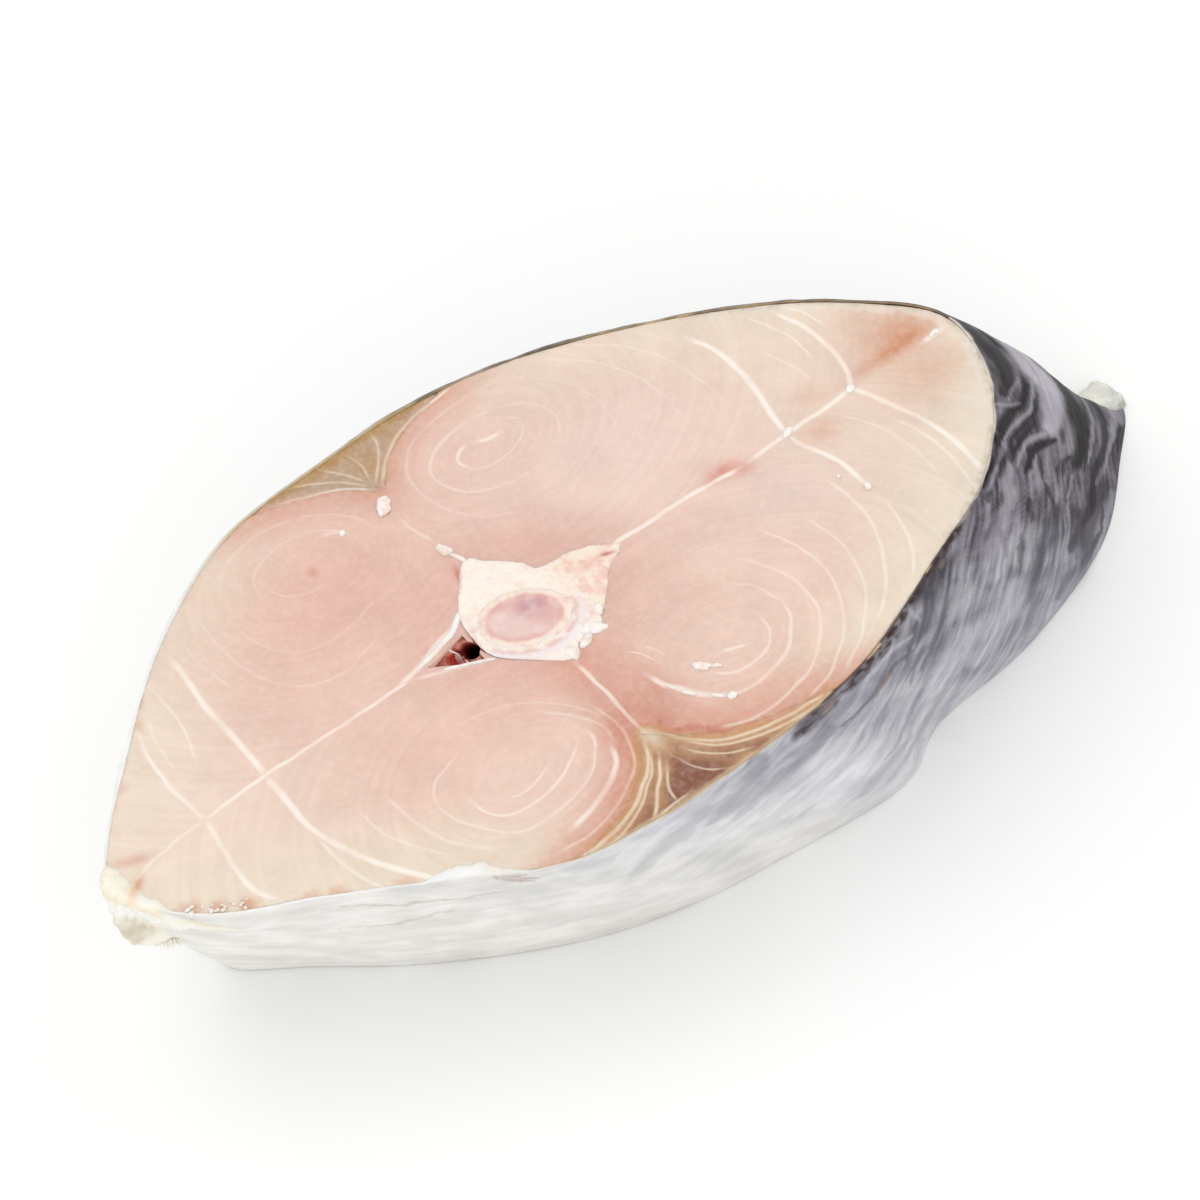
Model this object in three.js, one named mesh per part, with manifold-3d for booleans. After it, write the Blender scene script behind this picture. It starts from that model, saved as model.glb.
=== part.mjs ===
// A kingfish steak: a slice cut obliquely across the tail half of the fish, lying on its lower cut face.
// Millimetres, +Z up. While it is built, x runs from the belly edge (0) to the back edge of the upper
// face, y runs across the fish and z up from the lower face. The group then centres the whole on its box.
import * as THREE from "three";
import { mergeVertices } from "three/addons/utils/BufferGeometryUtils.js";
import Module from "manifold-3d";

const thickness = 30; // between the two cut faces
const skinThickness = 0.8;
const gap = 0.3; // between neighbouring pieces
const sideBulge = 0.7; // how far the flank swells half way up
const skinLift = 0.3; // lower edge of the skin above the surface the steak lies on

// The body axis leans over, so whatever runs through the slice comes out further back on the lower face.
const faceLength = 135; // belly edge to back edge on the upper face
const leanAtBelly = 13;
const leanAtBack = 29.5;
const lowerWidthRatio = 0.965; // breadth of the lower face against the upper one

// Outline of the skin, from the belly edge along the near flank to the back and home along the far
// flank: x and y on the upper face, x and y of the same line of skin on the lower face.
const outline = [
  [-0.8, -2.5, 13, -0.8],
  [5, -11.5, 20, -6.3],
  [16, -18, 32, -16.6],
  [29, -26.3, 47.6, -26.3],
  [40, -33.2, 61, -31.3],
  [52, -35.4, 75, -33.8],
  [70, -36.2, 93.8, -36],
  [87, -34.6, 104.5, -31.8],
  [103, -29.2, 122, -30.7],
  [117, -24.2, 142.6, -25.2],
  [128, -15.8, 156.1, -16.1],
  [133.8, -7, 164.8, -9],
  [135, 0.5, 160.4, -4.1],
  [130.4, 7.2, 155.5, 4],
  [120, 16.5, 147, 14],
  [104.5, 25.3, 130.5, 23.5],
  [88, 31.6, 114, 30.2],
  [72, 34.3, 98, 33],
  [57, 33.9, 82, 33.3],
  [41, 32.1, 63.5, 31.2],
  [25, 24, 45, 23.7],
  [12, 13.2, 28.5, 13.2],
  [1.6, 3.2, 15.4, 3.4],
];
const outlineSteps = 4; // facets between two of those points
const flankLevels = 6;

// In front of the stump on the back the ridge is hollow: where that hollow is deepest, on the line of skin
// given as a row of the outline, how far it reaches and how far in it goes.
const ridgeHollow = {
  root: [134.6, -3.5, 163.2, -6.8],
  height: 8,
  halfHeight: 6.5,
  halfWidth: 7,
  inX: -3,
  inY: -1.6,
};

// The vertebra with its processes, seen on the upper face.
const vertebraOutline = [
  [60.7, 9.5],
  [57.6, 6.6],
  [54.4, 2.7],
  [53.4, -1.4],
  [53.6, -4.6],
  [56.6, -7.9],
  [60.6, -11.3],
  [62.5, -9.6],
  [65.4, -9.9],
  [67.6, -8.2],
  [70.1, -6.1],
  [72.7, -3.4],
  [76.6, -1.3],
  [72, 1.7],
  [68.6, 2.1],
  [66.3, 2.8],
  [65.4, 4.9],
  [62.8, 7.6],
];
const vertebraSteps = 3;

// The soft core in the middle of the vertebra is an oval.
const core = { x: 60.6, y: -2.6, halfLength: 5.4, halfWidth: 3.7, turn: -0.32 };
const coreSteps = 28;

// The two blood vessels below the vertebra lie in a three-cornered recess and run through the slice.
const recessOutline = [
  [53, 0.9],
  [46.2, -0.4],
  [52.6, -4.5],
];
const recessDepth = 2.4;
const artery = { x: 51.7, y: -1.7, radius: 1.1 };
const vein = { x: 49.5, y: -1.5, radius: 0.8 };
const vesselSteps = 14;

// Each wedge of dark muscle reaches in from the skin along the middle of a flank.
const nearWedge = [
  [41, -40],
  [42.5, -33],
  [50, -31.6],
  [55.2, -28.6],
  [58.4, -24.6],
  [61.2, -27.6],
  [66, -31],
  [72, -33.2],
  [80, -34.6],
  [82, -40],
];
const farWedge = [
  [44, 40],
  [44.8, 32.4],
  [51, 31.2],
  [57, 29.2],
  [61.4, 25.4],
  [65, 29],
  [70, 31.4],
  [77.4, 33],
  [79, 40],
];

// The stumps of the trimmed fins, each a thin plate in the fish's middle plane: the line of skin that it
// grows on (root, as a row of the outline) and how far it stands out (reach) at each height.
const bellyStump = {
  root: [-0.8, -2.5, 13, -0.8],
  halfWidth: 1.5,
  heights: [9, 11.8, 15, 17, 18.2, 20.5, 23.7, 26.4, 29.6],
  reach: [0.6, 1.1, 1.7, 2.4, 3.7, 3.3, 2.7, 2, 1.4],
};
const backStump = {
  root: [134.8, -3, 163.4, -7.8],
  halfWidth: 1.2,
  heights: [0.4, 1.6, 3, 4.4, 5.4],
  reach: [1.8, 2.2, 2.5, 2.5, 0.8],
};
const stumpRoot = 4; // how far a stump starts inside the skin before it is cut to it

const wasm = await Module();
wasm.setup();

// A closed geometry as a solid that can be joined and cut.
function solid(geometry) {
  const bare = geometry.clone();
  bare.deleteAttribute("normal");
  bare.deleteAttribute("uv");
  const merged = mergeVertices(bare, 1e-4);
  return new wasm.Manifold(
    new wasm.Mesh({
      numProp: 3,
      vertProperties: new Float32Array(merged.attributes.position.array),
      triVerts: new Uint32Array(merged.index.array),
    }),
  );
}

// A solid as geometry for a mesh, with flat facets.
function geometryOf(shape) {
  const made = shape.getMesh();
  const geometry = new THREE.BufferGeometry();
  geometry.setAttribute("position", new THREE.BufferAttribute(made.vertProperties, 3));
  geometry.setIndex(new THREE.BufferAttribute(made.triVerts, 1));
  const facets = geometry.toNonIndexed();
  facets.computeVertexNormals();
  return facets;
}

// A closed skin over a stack of level rings, each an equal number of points turning anticlockwise.
function loft(rings) {
  const count = rings[0].length;
  const positions = rings.flatMap((ring) => ring.flatMap((p) => [p.x, p.y, p.z]));
  const index = [];
  for (let level = 0; level < rings.length - 1; level += 1) {
    for (let i = 0; i < count; i += 1) {
      const a = level * count + i;
      const b = level * count + ((i + 1) % count);
      index.push(a, b, b + count, a, b + count, a + count);
    }
  }
  const flat = (ring) => ring.map((p) => new THREE.Vector2(p.x, p.y));
  for (const [a, b, c] of THREE.ShapeUtils.triangulateShape(flat(rings[0]), [])) {
    index.push(a, c, b);
  }
  const top = (rings.length - 1) * count;
  for (const [a, b, c] of THREE.ShapeUtils.triangulateShape(flat(rings.at(-1)), [])) {
    index.push(top + a, top + b, top + c);
  }
  const geometry = new THREE.BufferGeometry();
  geometry.setAttribute("position", new THREE.Float32BufferAttribute(positions, 3));
  geometry.setIndex(index);
  return geometry;
}

// Flat points as a ring at a height, turning anticlockwise.
function polygon(points, height) {
  const ring = points.map(([x, y]) => new THREE.Vector3(x, y, height));
  return THREE.ShapeUtils.isClockWise(ring) ? ring.reverse() : ring;
}

// A smooth closed curve through flat points, as a ring of points at a height.
function smoothRing(points, steps, height) {
  const curve = new THREE.CatmullRomCurve3(polygon(points, height), true, "catmullrom", 0.5);
  return curve.getPoints(points.length * steps).slice(0, -1);
}

// A ring moved outwards (or inwards, below zero) by a distance, square to its own edge.
function offsetRing(ring, distance) {
  return ring.map((point, i) => {
    const before = ring.at(i - 1);
    const after = ring[(i + 1) % ring.length];
    const along = after.clone().sub(before).normalize();
    return new THREE.Vector3(point.x + along.y * distance, point.y - along.x * distance, point.z);
  });
}

// A ring with the hollow of the back ridge pressed into it.
function hollowed(ring, height) {
  const { root, halfHeight, halfWidth, inX, inY } = ridgeHollow;
  const share = height / thickness;
  const middleX = THREE.MathUtils.lerp(root[2], root[0], share);
  const middleY = THREE.MathUtils.lerp(root[3], root[1], share);
  const depth = Math.exp(-(((height - ridgeHollow.height) / halfHeight) ** 2));
  return ring.map((p) => {
    const away = Math.hypot(p.x - middleX, p.y - middleY) / halfWidth;
    const amount = depth * Math.exp(-(away ** 2));
    return new THREE.Vector3(p.x + inX * amount, p.y + inY * amount, p.z);
  });
}

// The whole slice out to a distance inside the outer face of the skin, between two heights.
function slice(inset, from, to) {
  const upper = smoothRing(outline.map((row) => row.slice(0, 2)), outlineSteps, 0);
  const lower = smoothRing(outline.map((row) => row.slice(2, 4)), outlineSteps, 0);
  const rings = [];
  for (let level = 0; level <= flankLevels; level += 1) {
    const height = THREE.MathUtils.lerp(from, to, level / flankLevels);
    const share = height / thickness;
    const ring = lower.map((p, i) => p.clone().lerp(upper[i], share).setZ(height));
    rings.push(offsetRing(hollowed(ring, height), sideBulge * Math.sin(Math.PI * share) - inset));
  }
  return solid(loft(rings));
}

// Where a point of the upper face comes out on another level, following the lean of the body.
function leaned(point, height) {
  const down = 1 - height / thickness;
  const toBack = 1 - (1 - point.x / faceLength) ** 2;
  const lean = THREE.MathUtils.lerp(leanAtBelly, leanAtBack, toBack);
  const narrowed = THREE.MathUtils.lerp(1, lowerWidthRatio, down);
  return new THREE.Vector3(point.x + lean * down, point.y * narrowed, height);
}

// A solid that runs through the slice from an outline on the upper face.
function through(ring, from, to) {
  return solid(loft([from, to].map((height) => ring.map((p) => leaned(p, height)))));
}

function oval({ x, y, halfLength, halfWidth, turn }, grow, steps) {
  return Array.from({ length: steps }, (_, i) => {
    const angle = (2 * Math.PI * i) / steps;
    const along = (halfLength + grow) * Math.cos(angle);
    const across = (halfWidth + grow) * Math.sin(angle);
    return new THREE.Vector3(
      x + along * Math.cos(turn) - across * Math.sin(turn),
      y + along * Math.sin(turn) + across * Math.cos(turn),
      0,
    );
  });
}

function bore({ x, y, radius }) {
  const ring = oval({ x, y, halfLength: radius, halfWidth: radius, turn: 0 }, 0, vesselSteps);
  return through(ring, -1, thickness + 1);
}

// A fin stump; side is -1 at the belly and 1 at the back.
function stump({ root, halfWidth, heights, reach }, side) {
  const [upperX, upperY, lowerX, lowerY] = root;
  const rings = heights.map((height, i) => {
    const share = height / thickness;
    const x = THREE.MathUtils.lerp(lowerX, upperX, share);
    const y = THREE.MathUtils.lerp(lowerY, upperY, share);
    const inner = x - side * stumpRoot;
    const tip = x + side * reach[i];
    const corners = [
      [inner, y - side * halfWidth],
      [tip, y - side * halfWidth * 0.35],
      [tip, y + side * halfWidth * 0.35],
      [inner, y + side * halfWidth],
    ];
    return corners.map(([px, py]) => new THREE.Vector3(px, py, height));
  });
  return solid(loft(rings)).subtract(slice(-gap, -1, thickness + 1));
}

const whole = slice(skinThickness + gap, 0, thickness);
const vertebraRing = smoothRing(vertebraOutline, vertebraSteps, 0);
const coreRing = oval(core, 0, coreSteps);
const nearRing = polygon(nearWedge, 0);
const farRing = polygon(farWedge, 0);
const recess = through(polygon(recessOutline, 0), thickness - recessDepth, thickness + 1);

const pieces = {
  flesh: {
    shape: whole
      .subtract(through(offsetRing(vertebraRing, gap), -1, thickness + 1))
      .subtract(through(offsetRing(nearRing, gap), -1, thickness + 1))
      .subtract(through(offsetRing(farRing, gap), -1, thickness + 1))
      .subtract(recess)
      .subtract(bore(artery))
      .subtract(bore(vein)),
    colour: 0xe9c6ae,
    roughness: 0.38,
  },
  dark_muscle_near: {
    shape: whole.intersect(through(nearRing, -1, thickness + 1)),
    colour: 0xa98457,
    roughness: 0.4,
  },
  dark_muscle_far: {
    shape: whole.intersect(through(farRing, -1, thickness + 1)),
    colour: 0xb09a70,
    roughness: 0.4,
  },
  vertebra: {
    shape: through(vertebraRing, 0, thickness).subtract(
      through(oval(core, gap, coreSteps), -1, thickness + 1),
    ),
    colour: 0xf5e6d8,
    roughness: 0.5,
  },
  vertebra_core: {
    shape: through(coreRing, 0, thickness),
    colour: 0xe3bdb8,
    roughness: 0.25,
  },
  skin: {
    shape: slice(0, skinLift, thickness).subtract(slice(skinThickness, -1, thickness + 1)),
    colour: 0x9a9ba6,
    roughness: 0.35,
  },
  fin_stump_belly: {
    shape: stump(bellyStump, -1),
    colour: 0xefe6cf,
    roughness: 0.45,
  },
  fin_stump_back: {
    shape: stump(backStump, 1),
    colour: 0xb9b8a8,
    roughness: 0.45,
  },
};

const steak = new THREE.Group();
for (const [name, { shape, colour, roughness }] of Object.entries(pieces)) {
  const material = new THREE.MeshStandardMaterial({ color: colour, roughness, metalness: 0 });
  const mesh = new THREE.Mesh(geometryOf(shape), material);
  mesh.name = name;
  steak.add(mesh);
}

const box = new THREE.Box3().setFromObject(steak);
const middle = box.getCenter(new THREE.Vector3());
steak.position.set(-middle.x, -middle.y, -box.min.z);

export default steak;
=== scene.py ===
from functools import partial
from math import ceil, pi, radians

import bmesh
import bpy
import numpy as np
from mathutils import Matrix, Vector, noise
from mathutils.kdtree import KDTree


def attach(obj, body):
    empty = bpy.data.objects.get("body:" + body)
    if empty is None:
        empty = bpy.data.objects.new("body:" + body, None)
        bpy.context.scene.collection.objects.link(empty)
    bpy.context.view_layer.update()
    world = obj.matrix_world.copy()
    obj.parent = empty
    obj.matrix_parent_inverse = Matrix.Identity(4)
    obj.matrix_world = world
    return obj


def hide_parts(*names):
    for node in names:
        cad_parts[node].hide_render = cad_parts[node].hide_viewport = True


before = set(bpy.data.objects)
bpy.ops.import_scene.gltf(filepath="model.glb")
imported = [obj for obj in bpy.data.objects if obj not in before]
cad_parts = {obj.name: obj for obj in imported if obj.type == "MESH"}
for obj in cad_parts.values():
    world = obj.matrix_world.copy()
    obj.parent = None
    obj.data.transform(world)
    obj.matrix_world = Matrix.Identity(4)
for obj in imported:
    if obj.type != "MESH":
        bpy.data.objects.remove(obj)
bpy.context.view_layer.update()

# Pieces are shaped in millimetres. x runs from the belly edge of the upper cut face to its back edge,
# y across the fish towards the far flank, z up from the lower cut face.
cut = {
    "bellyEdge": (-81.401, 1.061),  # where that x and y start in the frame
    "thickness": 30.0,
    "faceLength": 135.0,
    "leanAtBelly": 13.0,  # how much further back the same line of fish comes out below
    "leanAtBack": 29.5,
    "lowerWidth": 0.965,  # breadth of the lower face against the upper one
    "upperCentre": (67.0, -1.0),
    "lowerCentre": (92.3, -1.0),
}
toFrame = Matrix.Scale(0.001, 4) @ Matrix.Translation((*cut["bellyEdge"], 0))
fromFrame = toFrame.inverted()


def toLinear(hexColour):  # sRGB hex to linear red, green and blue
    channels = [int(hexColour[i:i + 2], 16) / 255 for i in (1, 3, 5)]
    return [c / 12.92 if c <= 0.04045 else ((c + 0.055) / 1.055) ** 2.4 for c in channels]


def palette(hexColours):  # named colours, ready to mix
    return {name: np.array(toLinear(value)) for name, value in hexColours.items()}


def layTones(colours, base, *layers):  # colours laid over a base colour, by their amounts at each point
    tone = np.tile(colours[base], (len(layers[0][1]), 1))
    for name, amount in layers:
        amount = np.clip(amount, 0, 1)[:, None]
        tone = tone * (1 - amount) + colours[name] * amount
    return tone


def smooth(value, start, end):  # 0 at start, 1 at end, with a soft start and stop
    t = np.clip((value - start) / (end - start), 0, 1)
    return t * t * (3 - 2 * t)


def noiseAt(points, size, octaves=1):  # soft noise of about -1 to 1, its lumps of a size in mm
    size = np.broadcast_to(np.asarray(size, float), (3,))
    scaled = (points / size).tolist()
    if octaves == 1:
        return np.array([noise.noise(p) for p in scaled])
    return np.array([noise.fractal(p, 0.8, 2.1, octaves) for p in scaled])


def leanAt(x):
    toBack = 1 - (1 - x / cut["faceLength"]) ** 2
    return cut["leanAtBelly"] + (cut["leanAtBack"] - cut["leanAtBelly"]) * toBack


def lowered(x, y, z):  # where a line along the fish, from a point of the upper face, passes a height
    down = 1 - z / cut["thickness"]
    return x + leanAt(x) * down, y * (1 - (1 - cut["lowerWidth"]) * down)


def raised(x, y, z):  # back up that line, to the upper face
    down = 1 - z / cut["thickness"]
    start = x - cut["leanAtBelly"] * down
    for _ in range(12):
        start = x - leanAt(start) * down
    return start, y / (1 - (1 - cut["lowerWidth"]) * down)


def flatPlaces(x, y):  # where to read noise that is the same at every height
    return np.column_stack([x, y, np.zeros_like(x)])


def cutFaces(points):  # which points lie in the upper and in the lower cut face
    return points[:, 2] > cut["thickness"] - 0.01, points[:, 2] < 0.01


# Meshes.
def nodeCopy(name):  # a CAD node's mesh, merged and in millimetres
    bm = bmesh.new()
    bm.from_mesh(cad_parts[name].data)
    bmesh.ops.transform(bm, matrix=fromFrame, verts=bm.verts)
    bmesh.ops.remove_doubles(bm, verts=bm.verts, dist=0.002)
    bm.normal_update()
    return bm


def meshObject(bm, name):
    mesh = bpy.data.meshes.new(name)
    bm.to_mesh(mesh)
    bm.free()
    made = bpy.data.objects.new(name, mesh)
    bpy.context.scene.collection.objects.link(made)
    return made


def readPoints(piece):
    points = np.empty(len(piece.data.vertices) * 3, np.float32)
    piece.data.vertices.foreach_get("co", points)
    return points.reshape(-1, 3).astype(float)


def writePoints(piece, points):
    piece.data.vertices.foreach_set("co", points.astype(np.float32).ravel())
    piece.data.update()


def applyModifiers(piece):
    bpy.context.view_layer.update()
    ready = piece.evaluated_get(bpy.context.evaluated_depsgraph_get())
    mesh = bpy.data.meshes.new_from_object(ready)
    piece.modifiers.clear()
    old = piece.data
    piece.data = mesh
    bpy.data.meshes.remove(old)


def combine(piece, other, operation):
    step = piece.modifiers.new(operation, "BOOLEAN")
    step.operation = operation
    step.object = other
    step.solver = "MANIFOLD"
    applyModifiers(piece)
    bpy.data.objects.remove(other)


def cutSlab(name, low, high, cell):  # a flat slab between the two cut faces, leaning as the fish does
    countX, countY = (ceil((high[i] - low[i]) / cell) for i in (0, 1))
    middle = Matrix.Translation(((low[0] + high[0]) / 2, (low[1] + high[1]) / 2, cut["thickness"]))
    bm = bmesh.new()
    bmesh.ops.create_grid(bm, x_segments=countX, y_segments=countY, size=0.5,
                          matrix=middle @ Matrix.Diagonal((high[0] - low[0], high[1] - low[1], 1, 1)))
    extrudeTo(bm, 0)
    bmesh.ops.recalc_face_normals(bm, faces=bm.faces[:])
    slab = meshObject(bm, name)
    points = readPoints(slab)
    isLower = cutFaces(points)[1]
    points[isLower, :2] = np.column_stack(lowered(*points[isLower, :2].T, 0.0))
    writePoints(slab, points)
    return slab


def extrudeTo(bm, height):  # a flat grid becomes a block that ends at a height
    made = bmesh.ops.extrude_face_region(bm, geom=bm.faces[:])
    for part in made["geom"]:
        if isinstance(part, bmesh.types.BMVert):
            part.co.z = height


def setVector(piece, name, values):
    layer = piece.data.attributes.new(name, "FLOAT_VECTOR", "POINT")
    layer.data.foreach_set("vector", np.asarray(values, np.float32).ravel())


def setTone(piece, colours, alpha=1.0):
    layer = piece.data.attributes.new("tone", "FLOAT_COLOR", "POINT")
    four = np.column_stack([colours, np.broadcast_to(alpha, len(colours))])
    layer.data.foreach_set("color", four.astype(np.float32).ravel())


def finishPiece(piece, material, nodes, sharpAngle=40):
    piece.data.transform(toFrame)
    piece.data.shade_smooth()
    piece.data.set_sharp_from_angle(angle=radians(sharpAngle))
    piece.data.materials.clear()
    piece.data.materials.append(material)
    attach(piece, "root")
    if nodes:
        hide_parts(*nodes)
    print("made", piece.name, len(piece.data.polygons), "faces")


# The outline of the slice.
outline = {"directions": 1440, "blur": 5, "blurReach": 18, "fewestPoints": 40, "fitOrder": 4}


def outlineCurves():  # at each level of the skin's outer wall, how far out it is in each direction
    bm = nodeCopy("skin")
    levels = {}
    for face in bm.faces:
        middle = face.calc_center_median()
        outward = Vector((middle.x, middle.y, 0)) - Vector((*centreAt(middle.z), 0))
        if abs(face.normal.z) < 0.9 and face.normal.dot(outward) > 0:
            for vert in face.verts:
                levels.setdefault(round(vert.co.z, 1), {})[vert.index] = vert.co.copy()
    bm.free()
    heights = sorted(level for level, ring in levels.items() if len(ring) > outline["fewestPoints"])
    side = outline["blurReach"]
    blur = np.exp(-0.5 * (np.arange(-side, side + 1) / outline["blur"]) ** 2)
    reach = []
    for height in heights:
        ring = np.array([co[:] for co in levels[height].values()])
        offset = ring[:, :2] - centreAt(height)
        angle = np.arctan2(offset[:, 1], offset[:, 0])
        order = np.argsort(angle)
        radius = np.interp(directions, angle[order], np.hypot(*offset.T)[order], period=2 * pi)
        wrapped = np.concatenate([radius[-side:], radius, radius[:side]])
        reach.append(np.convolve(wrapped, blur / blur.sum(), mode="valid"))
    return np.array(heights), np.array(reach)


def centreAt(z):
    share = z / cut["thickness"]
    return tuple(low + (high - low) * share for low, high in zip(cut["lowerCentre"], cut["upperCentre"]))


directions = np.linspace(-pi, pi, outline["directions"], endpoint=False)
levelHeights, levelReach = outlineCurves()
# one smooth curve up the wall in each direction
reachFit = np.polyfit(levelHeights, levelReach, outline["fitOrder"])


def wallPoint(angle, z):  # a point of the skin's outer face
    count = outline["directions"]
    column = np.mod(angle + pi, 2 * pi) / (2 * pi) * count
    below = np.floor(column).astype(int)
    share = column - below
    fit = reachFit[:, below % count] * (1 - share) + reachFit[:, (below + 1) % count] * share
    radius = sum(part * z ** (outline["fitOrder"] - i) for i, part in enumerate(fit))
    centre = centreAt(z)
    return centre[0] + radius * np.cos(angle), centre[1] + radius * np.sin(angle)


def centreToWall(points):  # offsets of points from the middle, their sizes, and how far off the wall is there
    centreX, centreY = centreAt(points[:, 2])
    dx, dy = points[:, 0] - centreX, points[:, 1] - centreY
    angle = np.arctan2(dy, dx)
    rimX, rimY = wallPoint(angle, points[:, 2])
    return dx, dy, np.hypot(dx, dy), np.hypot(rimX - centreX, rimY - centreY)


def nearestTree(points):
    tree = KDTree(len(points))
    for i, (x, y) in enumerate(points):
        tree.insert((x, y, 0), i)
    tree.balance()
    return tree


def outlineTree(z):
    return nearestTree(np.column_stack(wallPoint(np.linspace(-pi, pi, 3000, endpoint=False), z)))


upperOutline = outlineTree(cut["thickness"])
lowerOutline = outlineTree(0.3)

cutterRoom = {
    "pastFaces": 2.0,  # how far a cutter runs past each cut face
    "rim": 2.2,  # the skin's inner wall is this near
    "vessels": (50.8, -1.6),  # between the artery and the vein, on the upper face
    "keptAsItIs": 2.3, "fullyGrown": 3.2,  # distances from that place
}


def throughCutter(name, grow, rimGrow=0.0):  # a CAD node grown sideways, and run past both cut faces
    bm = nodeCopy(name)
    for vert in bm.verts:
        x, y, z = vert.co
        startX, startY = raised(x, y, z)
        centreX, centreY = centreAt(z)
        rimX, rimY = wallPoint(np.arctan2(y - centreY, x - centreX), z)
        toRim = np.hypot(rimX - centreX, rimY - centreY) - np.hypot(x - centreX, y - centreY)
        fromVessels = np.hypot(startX - cutterRoom["vessels"][0], startY - cutterRoom["vessels"][1])
        amount = grow * smooth(fromVessels, cutterRoom["keptAsItIs"], cutterRoom["fullyGrown"])
        amount += rimGrow if toRim < cutterRoom["rim"] else 0
        side = Vector((vert.normal.x, vert.normal.y, 0))
        if side.length > 0.02:
            side = side.normalized() * amount
            x, y = x + side.x, y + side.y
        if z < 0.01 or z > cut["thickness"] - 0.01:
            startX, startY = raised(x, y, z)
            z += cutterRoom["pastFaces"] if z > 1 else -cutterRoom["pastFaces"]
            x, y = lowered(startX, startY, z)
        vert.co = (x, y, z)
    return meshObject(bm, name + "_cutter")


def distanceTo(tree, x, y):
    return np.array([tree.find((px, py, 0))[2] for px, py in zip(x.tolist(), y.tolist())])


print("outline read at", len(levelHeights), "levels")

# What shows on a cut: white partitions and rings, as half width in mm, whiteness, and points.
partitionLines = [
    # the middle partition, belly to back
    (0.2, 0.55, [(1.5, -2.6), (5, -1.3), (9, -0.7), (13.2, -0.5)]),
    (0.26, 0.8, [(13.2, -0.5), (22.4, -0.2), (33.3, -0.4), (44, -0.6)]),
    (0.34, 0.75, [(42, -0.6), (46, 0.3), (50, 1.6), (52.4, 2.3), (54.2, 3.4)]),
    (0.3, 0.75, [(44.5, -0.9), (47.5, -2.1), (50, -3.1), (52.9, -4.3)]),
    (0.32, 0.9, [(75.5, -0.9), (80, -0.9), (86, -1.1), (91, -1.4), (96, -2)]),
    (0.34, 0.9, [(98, -2), (104.8, -1.7), (110, -1.8), (116.2, -1.4)]),
    (0.4, 0.9, [(129, -1.9), (133, -1.7)]),
    # the belly partitions
    (0.28, 0.75, [(15.4, 15), (13.9, 11), (13.1, 6), (13.2, 2), (13.2, -0.5)]),
    (0.34, 0.85, [(13.2, -0.5), (12.9, -3), (12.1, -6), (11.5, -9), (11.4, -12), (12.4, -15)]),
    (0.42, 0.85, [(24.9, 21), (24.3, 17), (23.6, 13), (23.2, 9), (22.9, 5), (22.3, -0.2)]),
    (0.42, 0.9, [(22.3, -0.2), (21.9, -4), (21.5, -8), (21.9, -12), (23.2, -16.5), (25, -20.5),
                 (27.7, -25)]),
    (0.24, 0.55, [(21.2, -11), (21, -15), (21.4, -19), (22.6, -22)]),
    (0.2, 0.4, [(20.3, 19.4), (20.2, 16), (19.3, 11), (17.6, 6.5)]),
    (0.18, 0.35, [(17.4, 15.8), (15.8, 11.6), (14.9, 6.8)]),
    (0.2, 0.35, [(27.2, -11), (27.1, -15), (28.4, -19), (31, -23.5)]),
    (0.24, 0.45, [(30.7, -12), (30.8, -17), (32, -21.5), (35, -26)]),
    # the back partitions
    (0.45, 0.95, [(104.8, -1.7), (105.3, 1.2), (106.2, 4), (107.2, 7), (107.9, 10), (108.2, 13),
                  (108, 16), (107, 19)]),
    (0.36, 0.95, [(104.8, -1.7), (104.7, -4), (105.6, -6.5), (106.3, -9.5), (106.3, -12),
                  (105.9, -14.8)]),
    (0.38, 0.9, [(116.2, -1.4), (117.9, 1), (119.1, 4), (119.7, 7.5), (119.5, 11), (118.5, 15)]),
    (0.24, 0.55, [(116.6, 6), (117, 9.5), (116.5, 13), (115, 17)]),
    (0.22, 0.5, [(121.8, 8.5), (121.2, 12.5), (119.6, 16)]),
    (0.2, 0.35, [(113.6, 3.5), (113.4, 7), (112.2, 11.5)]),
    (0.42, 0.9, [(116.2, -1.4), (117.3, -4), (118.1, -7), (118.9, -10), (119.5, -14), (119.3, -18),
                 (118.6, -22.5)]),
    (0.26, 0.5, [(116.6, -9), (117.5, -13), (117.3, -18), (115.8, -23.5)]),
    (0.2, 0.35, [(112, -3.5), (114, -8), (114.8, -13), (114, -19)]),
    # the side partitions
    (0.28, 0.75, [(60.2, -11.8), (59.9, -16), (59.5, -20), (59.1, -24.6)]),
    (0.24, 0.35, [(60.1, 14), (59.6, 17), (59.4, 20.5)]),
]
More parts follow.
